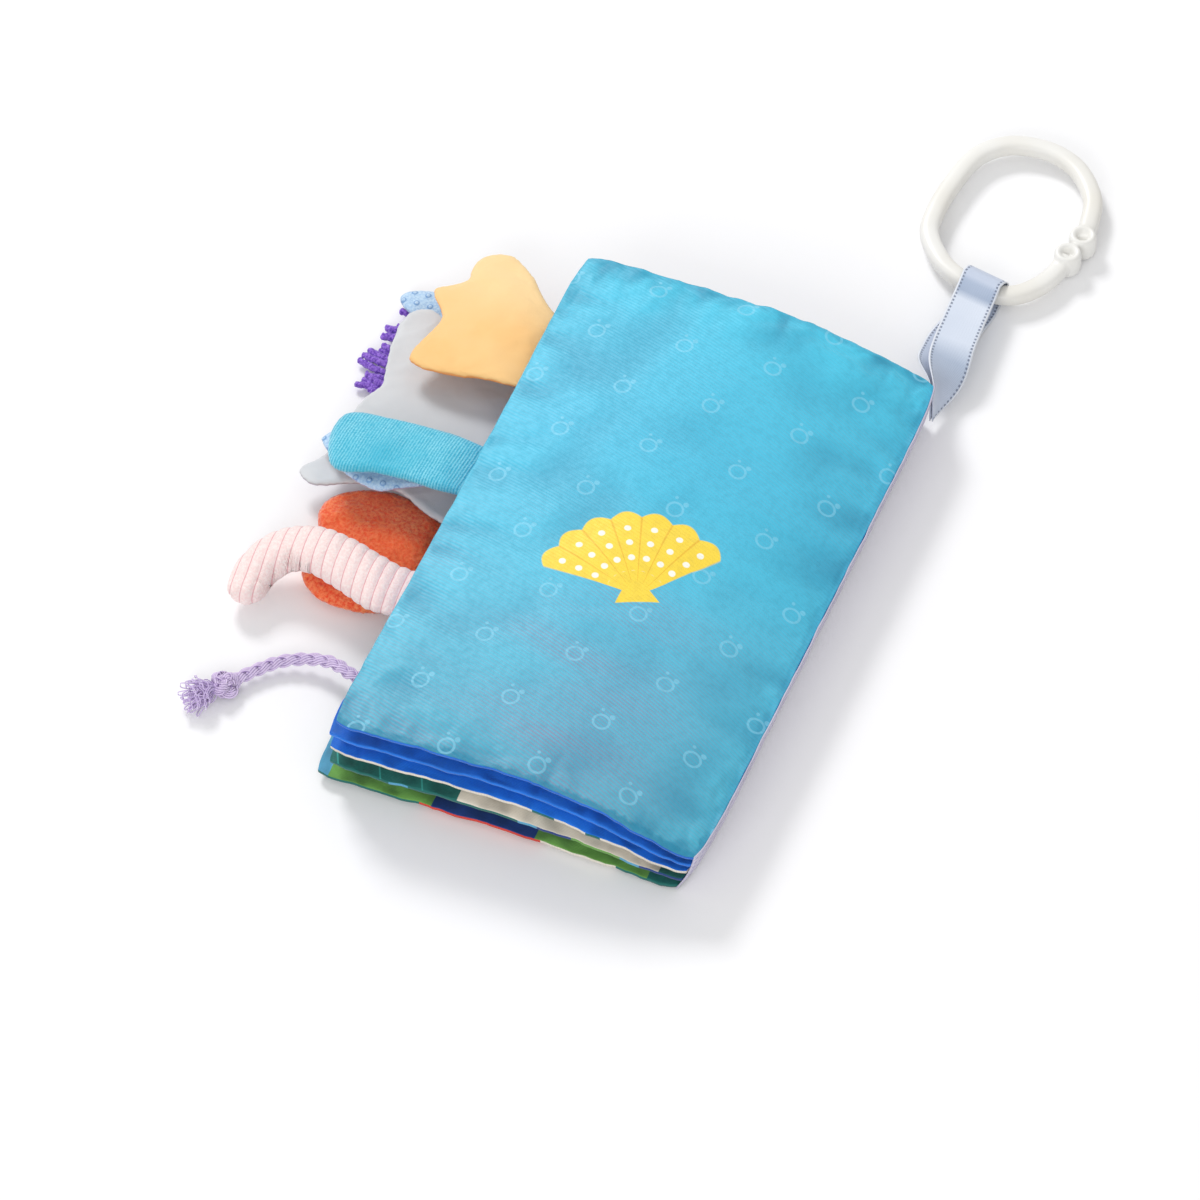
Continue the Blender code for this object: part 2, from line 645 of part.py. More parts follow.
def fringe():
    """Chenille strands drawn out of one tape, each face of the tape's front row by steps."""
    number = PAGES.index("bottom_cover")
    edge = root_edge(number, FRINGE_PLACE)
    root = seam_height(number, 1)
    cells = 2 * FRINGE_STRANDS - 1
    bm = bmesh.new()
    bmesh.ops.create_grid(bm, x_segments=cells, y_segments=1, size=1)
    spacing = FRINGE_WIDTH / (FRINGE_STRANDS - 1)
    start = FRINGE_PLACE - FRINGE_WIDTH / 2
    for vertex in bm.verts:
        column = round((vertex.co.x + 1) / 2 * cells)
        strand, far = divmod(column, 2)
        y = start + strand * spacing + (far - 0.5) * FRINGE_STRAND
        z = root + vertex.co.y * FRINGE_TAPE_HEIGHT / 2
        vertex.co = (edge - FRINGE_TAPE_DEPTH, y, z)
    front = sorted(bm.faces, key=lambda face: face.calc_center_median().y)[::2]
    behind = bmesh.ops.extrude_face_region(bm, geom=bm.faces[:], use_keep_orig=True)
    for vertex in behind["geom"]:
        if isinstance(vertex, bmesh.types.BMVert):
            vertex.co.x = edge
    for strand, face in enumerate(front):
        length = FRINGE_LENGTH * FRINGE_LENGTH_SHARES[strand % len(FRINGE_LENGTH_SHARES)]
        y_start = start + strand * spacing
        lean = FRINGE_WAVE if strand % 2 else -FRINGE_WAVE
        for step in range(1, FRINGE_STEPS + 1):
            share = step / FRINGE_STEPS
            grown = bmesh.ops.extrude_discrete_faces(bm, faces=[face])["faces"][0]
            face = grown
            x = edge - FRINGE_TAPE_DEPTH - (length - FRINGE_TAPE_DEPTH) * share
            y = y_start + FRINGE_WAVE * math.sin(2 * math.pi * share) + lean * share ** 3
            z = root - FRINGE_DROP * math.sin(math.pi / 2 * share)
            half = FRINGE_STRAND / 2 * (FRINGE_TIP_SHARE if step == FRINGE_STEPS else 1)
            for vertex in face.verts:
                side = 1 if vertex.co.y > face.calc_center_median().y else -1
                rise = 1 if vertex.co.z > face.calc_center_median().z else -1
                vertex.tag = side > 0
                vertex.index = rise
            for vertex in face.verts:
                vertex.co = (x, y + (half if vertex.tag else -half), z + half * vertex.index)
    add_piece("fringe", bm, PURPLE)


def lumpy_ball(name, centre, size, heading, lumps, lump_share, carrier):
    """A closed ball of wound or frayed yarn, longer along its heading."""
    bm = bmesh.new()
    bmesh.ops.create_uvsphere(bm, u_segments=14, v_segments=9, radius=0.5)
    turn = Vector((0.0, 0.0, 1.0)).rotation_difference(Vector(heading).normalized())
    for vertex in bm.verts:
        angle = math.atan2(vertex.co.y, vertex.co.x)
        ripple = 1 - lump_share * 0.5 * (1 - math.cos(lumps * angle + 4 * math.pi * vertex.co.z))
        rounded = Vector((vertex.co.x * ripple * size[0], vertex.co.y * ripple * size[1],
                          vertex.co.z * size[2]))
        vertex.co = Vector(centre) + turn @ rounded
    add_piece(name, bm, LILAC, carrier)


def cord(carrier):
    """The braided cord's tube along its route, with its knot and frayed end."""
    fine = smooth_line(CORD_ROUTE, 12)
    points = even_steps(fine, CORD_STEP_DIAMETERS * CORD_DIAMETER)
    curve = bpy.data.curves.new("cord", "CURVE")
    curve.dimensions = "3D"
    curve.bevel_depth = CORD_DIAMETER / 2
    curve.bevel_resolution = 2
    curve.use_fill_caps = True
    spline = curve.splines.new("POLY")
    spline.points.add(len(points) - 1)
    origin = Vector(carrier["place"])
    for target, point in zip(spline.points, points):
        target.co = (*(point - origin), 1.0)
    curve.materials.append(material(*LILAC))
    piece = bpy.data.objects.new("cord", curve)
    bpy.context.collection.objects.link(piece)
    piece.parent = carrier
    heading = (points[-1] - points[-2]).normalized()
    knot = points[-1] + heading * (SEAT_GAP + KNOT_DIAMETER / 2)
    lumpy_ball("cord_knot", knot, (KNOT_DIAMETER,) * 3, heading, KNOT_TURNS, KNOT_LUMP_SHARE, carrier)
    level = Vector((heading.x, heading.y, 0.0)).normalized()
    tuft = knot + level * (KNOT_DIAMETER / 2 + TUFT_LENGTH / 2 + SEAT_GAP)
    lumpy_ball("cord_tuft", tuft, (TUFT_WIDTH, TUFT_HEIGHT, TUFT_LENGTH), level, TUFT_TUFTS,
               TUFT_LUMP_SHARE, carrier)


def ring_middle():
    """Height of the ring's bar, which lies on the ribbon's lower strand."""
    return TABLE_GAP + RIBBON_THICKNESS + RIBBON_LOOP_HEIGHT / 2


def ring_spot(share_x, share_y):
    """A place on the bar's centreline from its shares."""
    x = RING_PLACE_X + share_x * (RING_WIDTH - RING_BAR_WIDTH) / 2
    y = RING_PLACE_Y + share_y * (RING_LENGTH - RING_BAR_WIDTH) / 2
    return Vector((x, y, ring_middle()))


def cup(place, facing):
    """A snap cup at one end of the bar: a stub cylinder with a dimple in its top."""
    bm = bmesh.new()
    radius, dimple = CUP_DIAMETER / 2, CUP_DIMPLE_DIAMETER / 2
    base = place.z - CUP_HEIGHT / 2
    top = place.z + CUP_HEIGHT / 2
    rounding = (radius - dimple) / 3
    profile = ((radius - rounding, base), (radius, base + rounding), (radius, top - rounding),
               (radius - rounding, top), (dimple, top), (dimple, top - CUP_DIMPLE_DEPTH))
    rings = []
    for reach, height in profile:
        ring = []
        for number in range(CUP_SIDES):
            turn = facing + 2 * math.pi * number / CUP_SIDES
            ring.append((place.x + reach * math.cos(turn), place.y + reach * math.sin(turn), height))
        rings.append(ring)
    loft(bm, rings)
    return bm


def link_ring(carrier):
    """The open oval bar, with a cup joined to each of its ends."""
    line = smooth_line([ring_spot(*share) for share in RING_SHARES], RING_SPAN_STEPS)
    rings = []
    for index, centre in enumerate(line):
        run = line[min(index + 1, len(line) - 1)] - line[max(index - 1, 0)]
        side = Vector((-run.y, run.x, 0.0)).normalized()
        ring = []
        for number in range(RING_SIDES):
            turn = 2 * math.pi * (number + 0.5) / RING_SIDES
            ring.append(centre + side * RING_BAR_WIDTH / 2 * math.cos(turn)
                        + Vector((0.0, 0.0, RING_BAR_HEIGHT / 2 * math.sin(turn))))
        rings.append(ring)
    bm = bmesh.new()
    loft(bm, rings)
    ring = add_piece("link_ring", bm, PLASTIC, carrier)
    for number, end in enumerate((line[0], line[-1])):
        tool = add_piece(f"cup_tool_{number}", cup(end, 0.0), PLASTIC, carrier)
        tool.hide_render = True
        tool.display_type = "WIRE"
        join = ring.modifiers.new(f"cup_{number}", "BOOLEAN")
        join.operation = "UNION"
        join.object = tool


def ribbon_places():
    """The loop's middle on the bar, its axis and its heading away from the book."""
    axis = Vector((math.cos(RIBBON_LOOP_ANGLE), math.sin(RIBBON_LOOP_ANGLE), 0.0))
    away = Vector((-axis.y, axis.x, 0.0))
    near = ring_spot(RIBBON_LOOP_PLACE_SHARE, -1.0) + away * RIBBON_LOOP_SHIFT
    root = Vector((spine_line(RIBBON_ROOT_HEIGHT) + SEAT_GAP + SPINE_CLOTH_THICKNESS / 2,
                   PAGE_LENGTH / 2 + SEAT_GAP, RIBBON_ROOT_HEIGHT))
    return near, axis, away, root


def ribbon(carrier):
    """One band: from the spine out over the bar, round it and back, standing on edge at the spine."""
    bar, axis, away, root = ribbon_places()
    stations = []
    half_loop = RIBBON_LOOP_HEIGHT / 2 + RIBBON_THICKNESS / 2
    for strand, sign in (("upper", 1), ("lower", -1)):
        row = []
        for step in range(RIBBON_STRAND_STEPS + 1):
            share = step / RIBBON_STRAND_STEPS
            ease = share * share * (3 - 2 * share)
            centre = root.lerp(bar, share)
            centre.z = root.z + (bar.z - root.z) * ease
            run = (bar - root).normalized()
            flat = Vector((run.y, -run.x, 0.0)).normalized().lerp(axis, ease).normalized()
            turn = math.pi / 2 * (1 - ease)
            width = flat * math.cos(turn) + Vector((0.0, 0.0, 1.0)) * math.sin(turn)
            normal = Vector((0.0, 0.0, 1.0)) * math.cos(turn) - flat * math.sin(turn)
            apart = RIBBON_ROOT_SPREAD / 2 + (half_loop - RIBBON_ROOT_SPREAD / 2) * ease
            splay = 0.0 if strand == "upper" else -RIBBON_SPLAY * math.sin(math.pi * share) ** 2
            row.append((centre + normal * sign * apart + flat * splay, width, normal * sign))
        stations.append(row)
    upper, lower = stations
    loop = []
    for step in range(1, RIBBON_LOOP_STEPS):
        turn = math.pi / 2 - math.pi * step / RIBBON_LOOP_STEPS
        out = away * (RIBBON_LOOP_DEPTH / 2 + RIBBON_THICKNESS / 2) * math.cos(turn)
        rise = Vector((0.0, 0.0, half_loop * math.sin(turn)))
        normal = (away * math.cos(turn) + Vector((0.0, 0.0, math.sin(turn)))).normalized()
        loop.append((bar + out + rise, axis, normal))
    rings = []
    for centre, width, normal in upper + loop + lower[::-1]:
        across = width * RIBBON_WIDTH / 2
        through = normal * RIBBON_THICKNESS / 2
        rings.append([centre + across + through, centre - across + through,
                      centre - across - through, centre + across - through])
    bm = bmesh.new()
    loft(bm, rings)
    bmesh.ops.triangulate(bm, faces=bm.faces[:])
    add_piece("ribbon_loop", bm, SATIN, carrier)


def page_pivots():
    """The pivots of the four page hinges, each carrying those above it."""
    pivots = [None]
    for number in range(1, len(PAGES)):
        height = STACK_AT_SPINE * number / len(PAGES)
        place = (spine_line(height) + GUTTER, 0.0, height)
        pivots.append(pivot(f"{PAGES[number]}_hinge", place, pivots[-1]))
    return pivots


def tail_pivot(name, number, along, rise, carrier):
    """The pivot of a tail that lifts about the upper edge of its sewn root."""
    place = (root_edge(number, along), along, seam_height(number, 1) + rise)
    return pivot(f"{name}_hinge", place, carrier)


def build():
    """Make the whole book."""
    clear_scene()
    pivots = page_pivots()
    carriers = dict(zip(PAGES, pivots))
    for number, name in enumerate(PAGES):
        page(number, carriers[name])
    spine_cloth()
    leaf_1, leaf_2 = PAGES.index("leaf_1"), PAGES.index("leaf_2")
    leaf_3, bottom = PAGES.index("leaf_3"), PAGES.index("bottom_cover")
    flap_rise = CLOTH_THICKNESS + SEAT_GAP / 2
    tube_rise = PINK_HEIGHT_SHARES[0] * PINK_HEIGHT / 2
    orange = tail_pivot("orange_tail", leaf_1, ORANGE_PLACE, flap_rise, carriers["leaf_1"])
    teal = tail_pivot("teal_tail", leaf_1, TEAL_PLACE, flap_rise, carriers["leaf_1"])
    pink = tail_pivot("pink_tail", leaf_2, PINK_PLACE, tube_rise, carriers["leaf_2"])
    tail("orange_tail", leaf_1, ORANGE_SHARES, ORANGE_LENGTH, ORANGE_WIDTH, ORANGE_PLACE,
         ORANGE_THICKNESS, ORANGE_DROP, (ORANGE, ORANGE), orange, False)
    tail("teal_tail", leaf_1, TEAL_SHARES, TEAL_LENGTH, TEAL_WIDTH, TEAL_PLACE,
         TEAL_THICKNESS, TEAL_DROP, (TEAL, TEAL), teal, True)
    tail("far_dotted_tail", leaf_3, FAR_FIN_SHARES, FAR_FIN_LENGTH, FAR_FIN_WIDTH, FAR_FIN_PLACE,
         FAR_FIN_THICKNESS, FAR_FIN_DROP, (DOTTED, WHITE_CLOTH), carriers["leaf_3"], False,
         under=(GREY_THICKNESS + FAR_FIN_THICKNESS) / 2 + SEAT_GAP)
    tail("near_dotted_tail", leaf_2, NEAR_FIN_SHARES, NEAR_FIN_LENGTH, NEAR_FIN_WIDTH,
         NEAR_FIN_PLACE, NEAR_FIN_THICKNESS, NEAR_FIN_DROP, (DOTTED, WHITE_CLOTH),
         carriers["leaf_2"], False)
    tail("grey_tail", leaf_3, GREY_SHARES, GREY_LENGTH, GREY_WIDTH, GREY_PLACE,
         GREY_THICKNESS, GREY_DROP, (GREY, WHITE_CLOTH), carriers["leaf_3"], False)
    tail("red_tail", bottom, RED_SHARES, RED_LENGTH, RED_WIDTH, RED_PLACE,
         RED_THICKNESS, RED_DROP, (RED, RED), carriers["bottom_cover"], True)
    pink_tail(pink)
    fringe()
    cord(carriers["leaf_3"])
    bar, _, _, root = ribbon_places()
    swing = pivot("ribbon_hinge", root)
    ribbon(swing)
    link_ring(pivot("ring_hinge", bar, swing))


build()
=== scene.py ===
"""Looks of the padded cloth book: printed pages with puckered seams, sewn fabric tails, a plaited cord
with its knot and frayed end, a satin ribbon and a moulded link ring.

Metres throughout, in the model's own frame: +X to the spine, +Y to the ribbon's end, +Z up.
"""

import json
import math
import random

import bmesh
import bpy
from mathutils import Matrix, Vector, noise
from mathutils.kdtree import KDTree


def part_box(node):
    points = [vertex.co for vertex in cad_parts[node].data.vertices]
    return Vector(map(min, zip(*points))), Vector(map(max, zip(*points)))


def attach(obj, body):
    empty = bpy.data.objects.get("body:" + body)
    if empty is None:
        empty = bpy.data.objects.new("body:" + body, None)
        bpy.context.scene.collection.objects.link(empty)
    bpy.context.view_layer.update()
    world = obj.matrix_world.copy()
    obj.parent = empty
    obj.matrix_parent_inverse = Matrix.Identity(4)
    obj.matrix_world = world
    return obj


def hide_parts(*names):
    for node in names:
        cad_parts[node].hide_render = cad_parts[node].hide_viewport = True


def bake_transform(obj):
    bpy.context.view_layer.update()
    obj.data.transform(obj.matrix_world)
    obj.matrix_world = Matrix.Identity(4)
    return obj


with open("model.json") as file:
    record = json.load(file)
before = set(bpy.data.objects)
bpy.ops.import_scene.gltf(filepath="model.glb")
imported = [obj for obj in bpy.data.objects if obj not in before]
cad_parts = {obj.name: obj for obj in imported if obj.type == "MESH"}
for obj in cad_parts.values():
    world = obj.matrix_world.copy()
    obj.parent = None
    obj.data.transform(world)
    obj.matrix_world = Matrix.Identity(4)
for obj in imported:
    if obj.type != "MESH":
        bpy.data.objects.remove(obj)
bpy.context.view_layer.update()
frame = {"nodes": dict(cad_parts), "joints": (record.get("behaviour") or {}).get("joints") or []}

MM = 0.001

# The book's own sizes
PAGES = ("bottom_cover", "leaf_3", "leaf_2", "leaf_1", "top_cover")
STACK_AT_SPINE = 21.8 * MM
STACK_AT_MIDDLE = 38.0 * MM
STACK_AT_FORE_EDGE = 36.6 * MM
CORNER_RADIUS = 7.0 * MM
CORNER_CUT = 0.29
SIDE_DRAW_IN = 1.4 * MM
END_OVERHANG = 0.6 * MM
END_RAGGEDNESS = 0.5 * MM
PAGE_GAP = 0.5 * MM
RIM_THICKNESS = 1.2 * MM
PAGE_COLUMNS = 120
PAGE_ROWS = 160
CROWDING = 0.62
TWILL_PITCH = 1.25 * MM
TWILL_SLANT = (0.31, 0.95)

# The cover's edges: fore edge, spine edge and both ends
COVER_FORE = -59.0 * MM
COVER_SPINE = 71.2 * MM
COVER_END = 108.6 * MM

# How far each page's fore edge is tucked in under the cover, past its near corner
FORE_TUCKS = (0.0, 1.6 * MM, 3.4 * MM, 3.6 * MM, 0.0)

# Folds beside each seam: reach into the page, spacing along the seam and depth
SPINE_PUCKER = (17.0 * MM, 13.0 * MM, 3.0 * MM)
FORE_PUCKER = (20.0 * MM, 8.0 * MM, 2.1 * MM)
END_PUCKER = (9.0 * MM, 4.6 * MM, 2.4 * MM)
# Fold depth at which the painted crease shade is darkest
FOLD_SHADE = 1.6 * MM
SOFT_CREASE_SPACING = 26.0 * MM
SOFT_CREASE_DEPTH = 1.0 * MM
SEAM_WANDER = 0.9 * MM
SEAM_WANDER_SPACING = 8.0 * MM
SEAM_GATHER = 0.32 * MM
SEAM_GATHER_SPACING = 2.8 * MM

# Cloth simulation: spare cloth by the seams and in the middle, air pressure and farthest move
SPARE_AT_SEAM = 0.030
SPARE_IN_MIDDLE = 0.003
SPARE_REACH = 22.0 * MM
SETTLE_FRAMES = 20
SHEET_COLUMNS = 60
SHEET_ROWS = 100
SHEET_CAP = 1.8 * MM
FLAP_CAP = 0.8 * MM
INNER_PUCKERS = 0.25

# Inside each page: grid, share of the way out to the cloth and how far the edges lie inside the seams
WADDING_GRID = (48, 76)
WADDING_SHARE = 0.22
WADDING_INSET = 10.0 * MM
FILM_GRID = (60, 96)
FILM_SHARES = (0.26, 0.06)
FILM_INSET = 8.0 * MM
FILM_THICKNESS = 0.08 * MM

# The spine's cloth
SPINE_THICKNESS = 0.6 * MM
SPINE_STAND_OFF = 0.3 * MM
SPINE_FROM_BOTTOM = 0.9 * MM
SPINE_FROM_TOP = 0.6 * MM
SPINE_FROM_END = 1.6 * MM
SPINE_BOW = 1.2 * MM
SPINE_PLEAT = 0.35 * MM
SPINE_CORNER = 2.4 * MM

# Tails: how far their roots are tucked in past the page's own edge, over which reach, and the held rim
ROOT_TUCK = 2.2 * MM
ROOT_REACH = 12.0 * MM
HELD_RIM = 0.8 * MM

# Dotted cloth: spacing of the dots, of their rows as a share of it, and each dot's height and radius
DOT_SPACING = 5.0 * MM
DOT_ROWS = 0.866
DOT_HEIGHT = 0.5 * MM
DOT_RADIUS = 0.75 * MM

# Camera fitted to the photograph: a long lens, and where the spine's low middle falls in the frame
FRAME_PIXELS = 1200
FOCAL_PIXELS = 9000
VIEW_AZIMUTH = math.radians(21.46)
VIEW_ELEVATION = math.radians(51.12)
PIXELS_PER_METRE = 3011
SIGHT_POINT = Vector((70.0 * MM, 0.0, 0.0))
SIGHT_PIXEL = (818.22, 655.89)

rng = random.Random(7)


def linear(red, green, blue):
    """A colour as the eye reads it, out of 255, in the renderer's own values."""
    return tuple((part / 255) ** 2.2 for part in (red, green, blue))


class Wire:
    """A node's output, which takes part in sums."""

    def __init__(self, finish, socket):
        self.finish = finish
        self.socket = socket

    def sum(self, operation, *values):
        return self.finish.add("ShaderNodeMath", {"operation": operation}, dict(enumerate(values)))

    def __add__(self, other):
        return self.sum("ADD", self, other)

    def __sub__(self, other):
        return self.sum("SUBTRACT", self, other)

    def __mul__(self, other):
        return self.sum("MULTIPLY", self, other)

    def __truediv__(self, other):
        return self.sum("DIVIDE", self, other)

    def __pow__(self, other):
        return self.sum("POWER", self, other)

    def __rsub__(self, other):
        return self.sum("SUBTRACT", other, self)

    def __rtruediv__(self, other):
        return self.sum("DIVIDE", other, self)

    __radd__ = __add__
    __rmul__ = __mul__

    def sine(self):
        return self.sum("SINE", self)

    def size(self):
        return self.sum("ABSOLUTE", self)

    def root(self):
        return self.sum("SQRT", self)

    def fraction(self):
        return self.sum("FRACT", self)

    def whole(self):
        return self.sum("FLOOR", self)

    def least(self, other):
        return self.sum("MINIMUM", self, other)

    def most(self, other):
        return self.sum("MAXIMUM", self, other)

    def rise(self, low, high):
        """0 below low, 1 above high and smooth between them."""
        settings = {"interpolation_type": "SMOOTHSTEP"}
        return self.finish.add("ShaderNodeMapRange", settings, {0: self, 1: low, 2: high, 3: 0.0, 4: 1.0})

    def fall(self, low, high):
        """1 below low, 0 above high and smooth between them."""
        return 1 - self.rise(low, high)


class Finish:
    """A material, whose nodes are added by kind, settings and socket values."""

    def __init__(self, name, colour, roughness, **sockets):
        self.material = bpy.data.materials.new(name)
        self.material.use_nodes = True
        self.material.diffuse_color = (*colour, 1.0)
        self.tree = self.material.node_tree
        self.shader = self.tree.nodes["Principled BSDF"]
        self.set("Base Color", colour)
        self.set("Roughness", roughness)
        for name, value in sockets.items():
            self.set(name.replace("_", " "), value)

    def plug(self, socket, value):
        if isinstance(value, Wire):
            self.tree.links.new(value.socket, socket)
        elif isinstance(value, tuple) and len(value) < len(socket.default_value):
            socket.default_value = (*value, 1.0)
        else:
            socket.default_value = value

    def set(self, name, value):
        self.plug(self.shader.inputs[name], value)

    def add(self, kind, settings=None, sockets=None, output=0):
        """A node of that kind: its settings first, then its sockets; gives one output."""
        node = self.tree.nodes.new(kind)
        for name, value in (settings or {}).items():
            if name == "stops":
                ramp = node.color_ramp
                ramp.interpolation = value[0]
                for stop in range(len(value[1]) - 2):
                    ramp.elements.new(0.5)
                for element, (place, colour) in zip(ramp.elements, value[1]):
                    element.position = place
                    element.color = (*colour, 1.0)
            else:
                setattr(node, name, value)
        for name, value in (sockets or {}).items():
            self.plug(node.inputs[name], value)
        return Wire(self, node.outputs[output])

    def parts(self, vector):
        """The three parts of a vector."""
        first = self.add("ShaderNodeSeparateXYZ", None, {0: vector})
        outputs = first.socket.node.outputs
        return [Wire(self, outputs[index]) for index in range(3)]

    def place(self):
        """The point in the object's own coordinates."""
        return self.add("ShaderNodeTexCoord", output="Object")

    def cloth(self):
        """The point on the cloth, from its own map."""
        return self.add("ShaderNodeUVMap", {"uv_map": "cloth"})

    def noise(self, scale, detail=2.0, vector=None, stretch=None, roughness=0.5):
        vector = vector or self.place()
        if stretch:
            vector = self.add("ShaderNodeMapping", None, {"Vector": vector, "Scale": stretch})
        sockets = {"Vector": vector, "Scale": scale, "Detail": detail, "Roughness": roughness}
        return self.add("ShaderNodeTexNoise", None, sockets)

    def mix(self, factor, first, second):
        """One colour turning into another."""
        return self.add("ShaderNodeMix", {"data_type": "RGBA"}, {0: factor, 6: first, 7: second}, 2)

    def ramp(self, factor, stops, interpolation="LINEAR"):
        return self.add("ShaderNodeValToRGB", {"stops": (interpolation, stops)}, {0: factor})

    def bump(self, height, distance, strength=1.0):
        sockets = {"Height": height, "Distance": distance, "Strength": strength}
        self.set("Normal", self.add("ShaderNodeBump", None, sockets))

    def fold(self):
        """How deep the point lies in a fold of its cloth, 0 to 1, read to paint shade into creases."""
        return self.add("ShaderNodeAttribute", {"attribute_name": "fold"}, output=2)

    def weave(self, pitch, vector=None):
        """Height of a plain weave, 0 to 1."""
        across, along, _ = self.parts(vector or self.place())
        turn = 2 * math.pi / pitch
        return (across * turn).sine() * (along * turn).sine() * 0.5 + 0.5


def cotton(name, colour, roughness=0.72):
    """A printed cotton's material, its print to be set by what calls it."""
    return Finish(name, colour, roughness, Sheen_Weight=0.12, Sheen_Roughness=0.5)


def shade_cloth(finish, colour, pitch=0.55 * MM, depth=0.09 * MM):
    """Thread by thread colour and height on a printed cloth, with painted shade in its folds."""
    weave = finish.weave(pitch)
    blotch = finish.noise(70.0, 3.0)
    # The weave and blotches are the cloth's own tone; the fold attribute adds painted shade in creases.
    shade = weave * 0.18 + blotch.rise(0.35, 0.75) * 0.12 + finish.fold() * 0.25
    darker = finish.mix(shade, colour, (0.0, 0.01, 0.03))
    finish.set("Base Color", darker)
    finish.set("Roughness", 0.62 + 0.2 * blotch)
    finish.bump(weave + finish.noise(900.0, 2.0) * 0.6, depth)


def bubbles(x, y, pitch_x, pitch_y, radius):
    """Small rings with a dot beside each, in staggered rows."""
    row = (y / pitch_y).whole()
    shift = (row * 0.5).fraction()
    across = ((x / pitch_x + shift).fraction() - 0.5) * pitch_x
    along = ((y / pitch_y).fraction() - 0.5) * pitch_y
    reach = (across ** 2 + along ** 2).root()
    ring = (reach - radius).size().fall(0.28 * MM, 0.55 * MM)
    beside = ((across - radius * 1.15) ** 2 + (along - radius * 1.05) ** 2).root()
    above = ((across + radius * 0.2) ** 2 + (along - radius * 1.75) ** 2).root()
    return ring.most(beside.fall(0.8 * MM, 1.1 * MM)).most(above.fall(0.45 * MM, 0.75 * MM))


def shell_print(finish, x, y, base, heading, radius, spread=1.12, ribs=7):
    """A fan shell's outline mask and the mask of the dots along its ribs."""
    cos, sin = math.cos(heading), math.sin(heading)
    away_x, away_y = x - base[0], y - base[1]
    ahead = away_x * cos + away_y * sin
    aside = away_y * cos - away_x * sin
    reach = (ahead ** 2 + aside ** 2).root()
    angle = finish.add("ShaderNodeMath", {"operation": "ARCTAN2"}, {0: aside, 1: ahead})
    rib = 2 * spread / ribs
    place = angle / rib + 0.5 * ribs
    lobe = ((place * math.pi).sine().size() * 0.07 + 0.93) * radius
    fan = (reach - lobe).fall(-0.35 * MM, 0.35 * MM) * angle.size().fall(spread - 0.02, spread + 0.01)
    foot = (ahead - 0.5 * MM).size().fall(3.0 * MM, 3.4 * MM)
    hinge = foot * (aside.size() + ahead * 0.55).fall(5.6 * MM, 6.1 * MM)
    across = (place.fraction() - 0.5) * rib * reach
    row = ((reach / (6.2 * MM)).fraction() - 0.5) * (6.2 * MM)
    dots = (across ** 2 + row ** 2).root().fall(1.0 * MM, 1.35 * MM)
    inside = reach.rise(10.0 * MM, 11.0 * MM) * (reach - radius * 0.9).fall(-0.3 * MM, 0.3 * MM)
    groove = (place.fraction() - 0.5).size().rise(0.44, 0.49) * reach.rise(5.0 * MM, 7.0 * MM)
    return fan.most(hinge), dots * inside * fan, groove * fan


def cover_finish():
    """The turquoise cover: satin twill with pale bubbles and a yellow fan shell, with painted sheen and
    painted shade in its folds, along its edges and towards the spine.
    """
    finish = Finish("turquoise_print", linear(72, 178, 210), 0.5, Sheen_Weight=0.2, Sheen_Roughness=0.4)
    x, y, _ = finish.parts(finish.place())
    base = finish.ramp((y + 0.11) / 0.22, (
        (0.0, linear(70, 176, 202)), (0.3, linear(76, 192, 222)), (0.65, linear(68, 190, 224)),
        (1.0, linear(72, 198, 230)),
    ))
    # Painted shade: the cover darker towards the spine, where it slopes away from the key light.
    base = finish.mix(x.rise(0.040, 0.068) * 0.15, base, linear(24, 132, 170))
    base = finish.mix(x.fall(-0.060, -0.040) * 0.35, base, linear(100, 200, 228))
    # Painted sheen: purple-grey twill stripes and drifting bands over the near part of the cover, where the
    # satin's sheen shows; the stripes follow the twill's own threads.
    drift = finish.noise(13.0, 3.0, stretch=(0.45, 1.6, 1.0)).rise(0.40, 0.66)
    near = y.fall(-0.095, 0.030) * x.fall(0.0, 0.080)
    slant = x * TWILL_SLANT[0] + y * TWILL_SLANT[1]
    twill = (slant * (2 * math.pi / TWILL_PITCH)).sine() * 0.5 + 0.5
    strength = (near * 0.95 + 0.12) * (drift * 0.75 + 0.25)
    base = finish.mix(twill * strength, base, linear(140, 128, 160))
    base = finish.mix(near * drift * 0.22, base, linear(128, 144, 176))
    # Painted shade in the cover's folds and puckers.
    base = finish.mix(finish.fold() * 0.6, base, linear(14, 116, 152))
    # Painted shade: a darker ragged band along the edges, strongest at the near edge, where the padded rim
    # turns away from the light.
    from_edge = (y + COVER_END).least(COVER_END - y).least(x - COVER_FORE).least(COVER_SPINE - x)
    ragged = from_edge + (finish.noise(330.0, 2.0) - 0.5) * 4.0 * MM
    rim = ragged.fall(1.2 * MM, 2.9 * MM) * (y.fall(-0.104, -0.096) * 0.5 + 0.25)
    base = finish.mix(rim, base, linear(10, 126, 160))
    pale = bubbles(x + y * 0.12, y - x * 0.1, 31.0 * MM, 23.0 * MM, 2.7 * MM)
    base = finish.mix(pale * 0.4, base, linear(142, 214, 240))
    fan, dots, groove = shell_print(finish, x, y, (0.016, -0.026), math.radians(118), 35.0 * MM)
    yellow = finish.mix(groove * 0.7, linear(250, 216, 66), linear(232, 176, 40))
    base = finish.mix(fan, base, finish.mix(dots, yellow, linear(252, 250, 236)))
    blotch = finish.noise(420.0, 2.0)
    base = finish.mix(blotch.rise(0.4, 0.7) * 0.08, base, (0.0, 0.03, 0.06))
    finish.set("Base Color", base)
    finish.set("Roughness", 0.44 + blotch * 0.2)
    finish.bump(twill * 0.7 + finish.noise(800.0, 2.0) * 0.8, 0.10 * MM)
    return finish


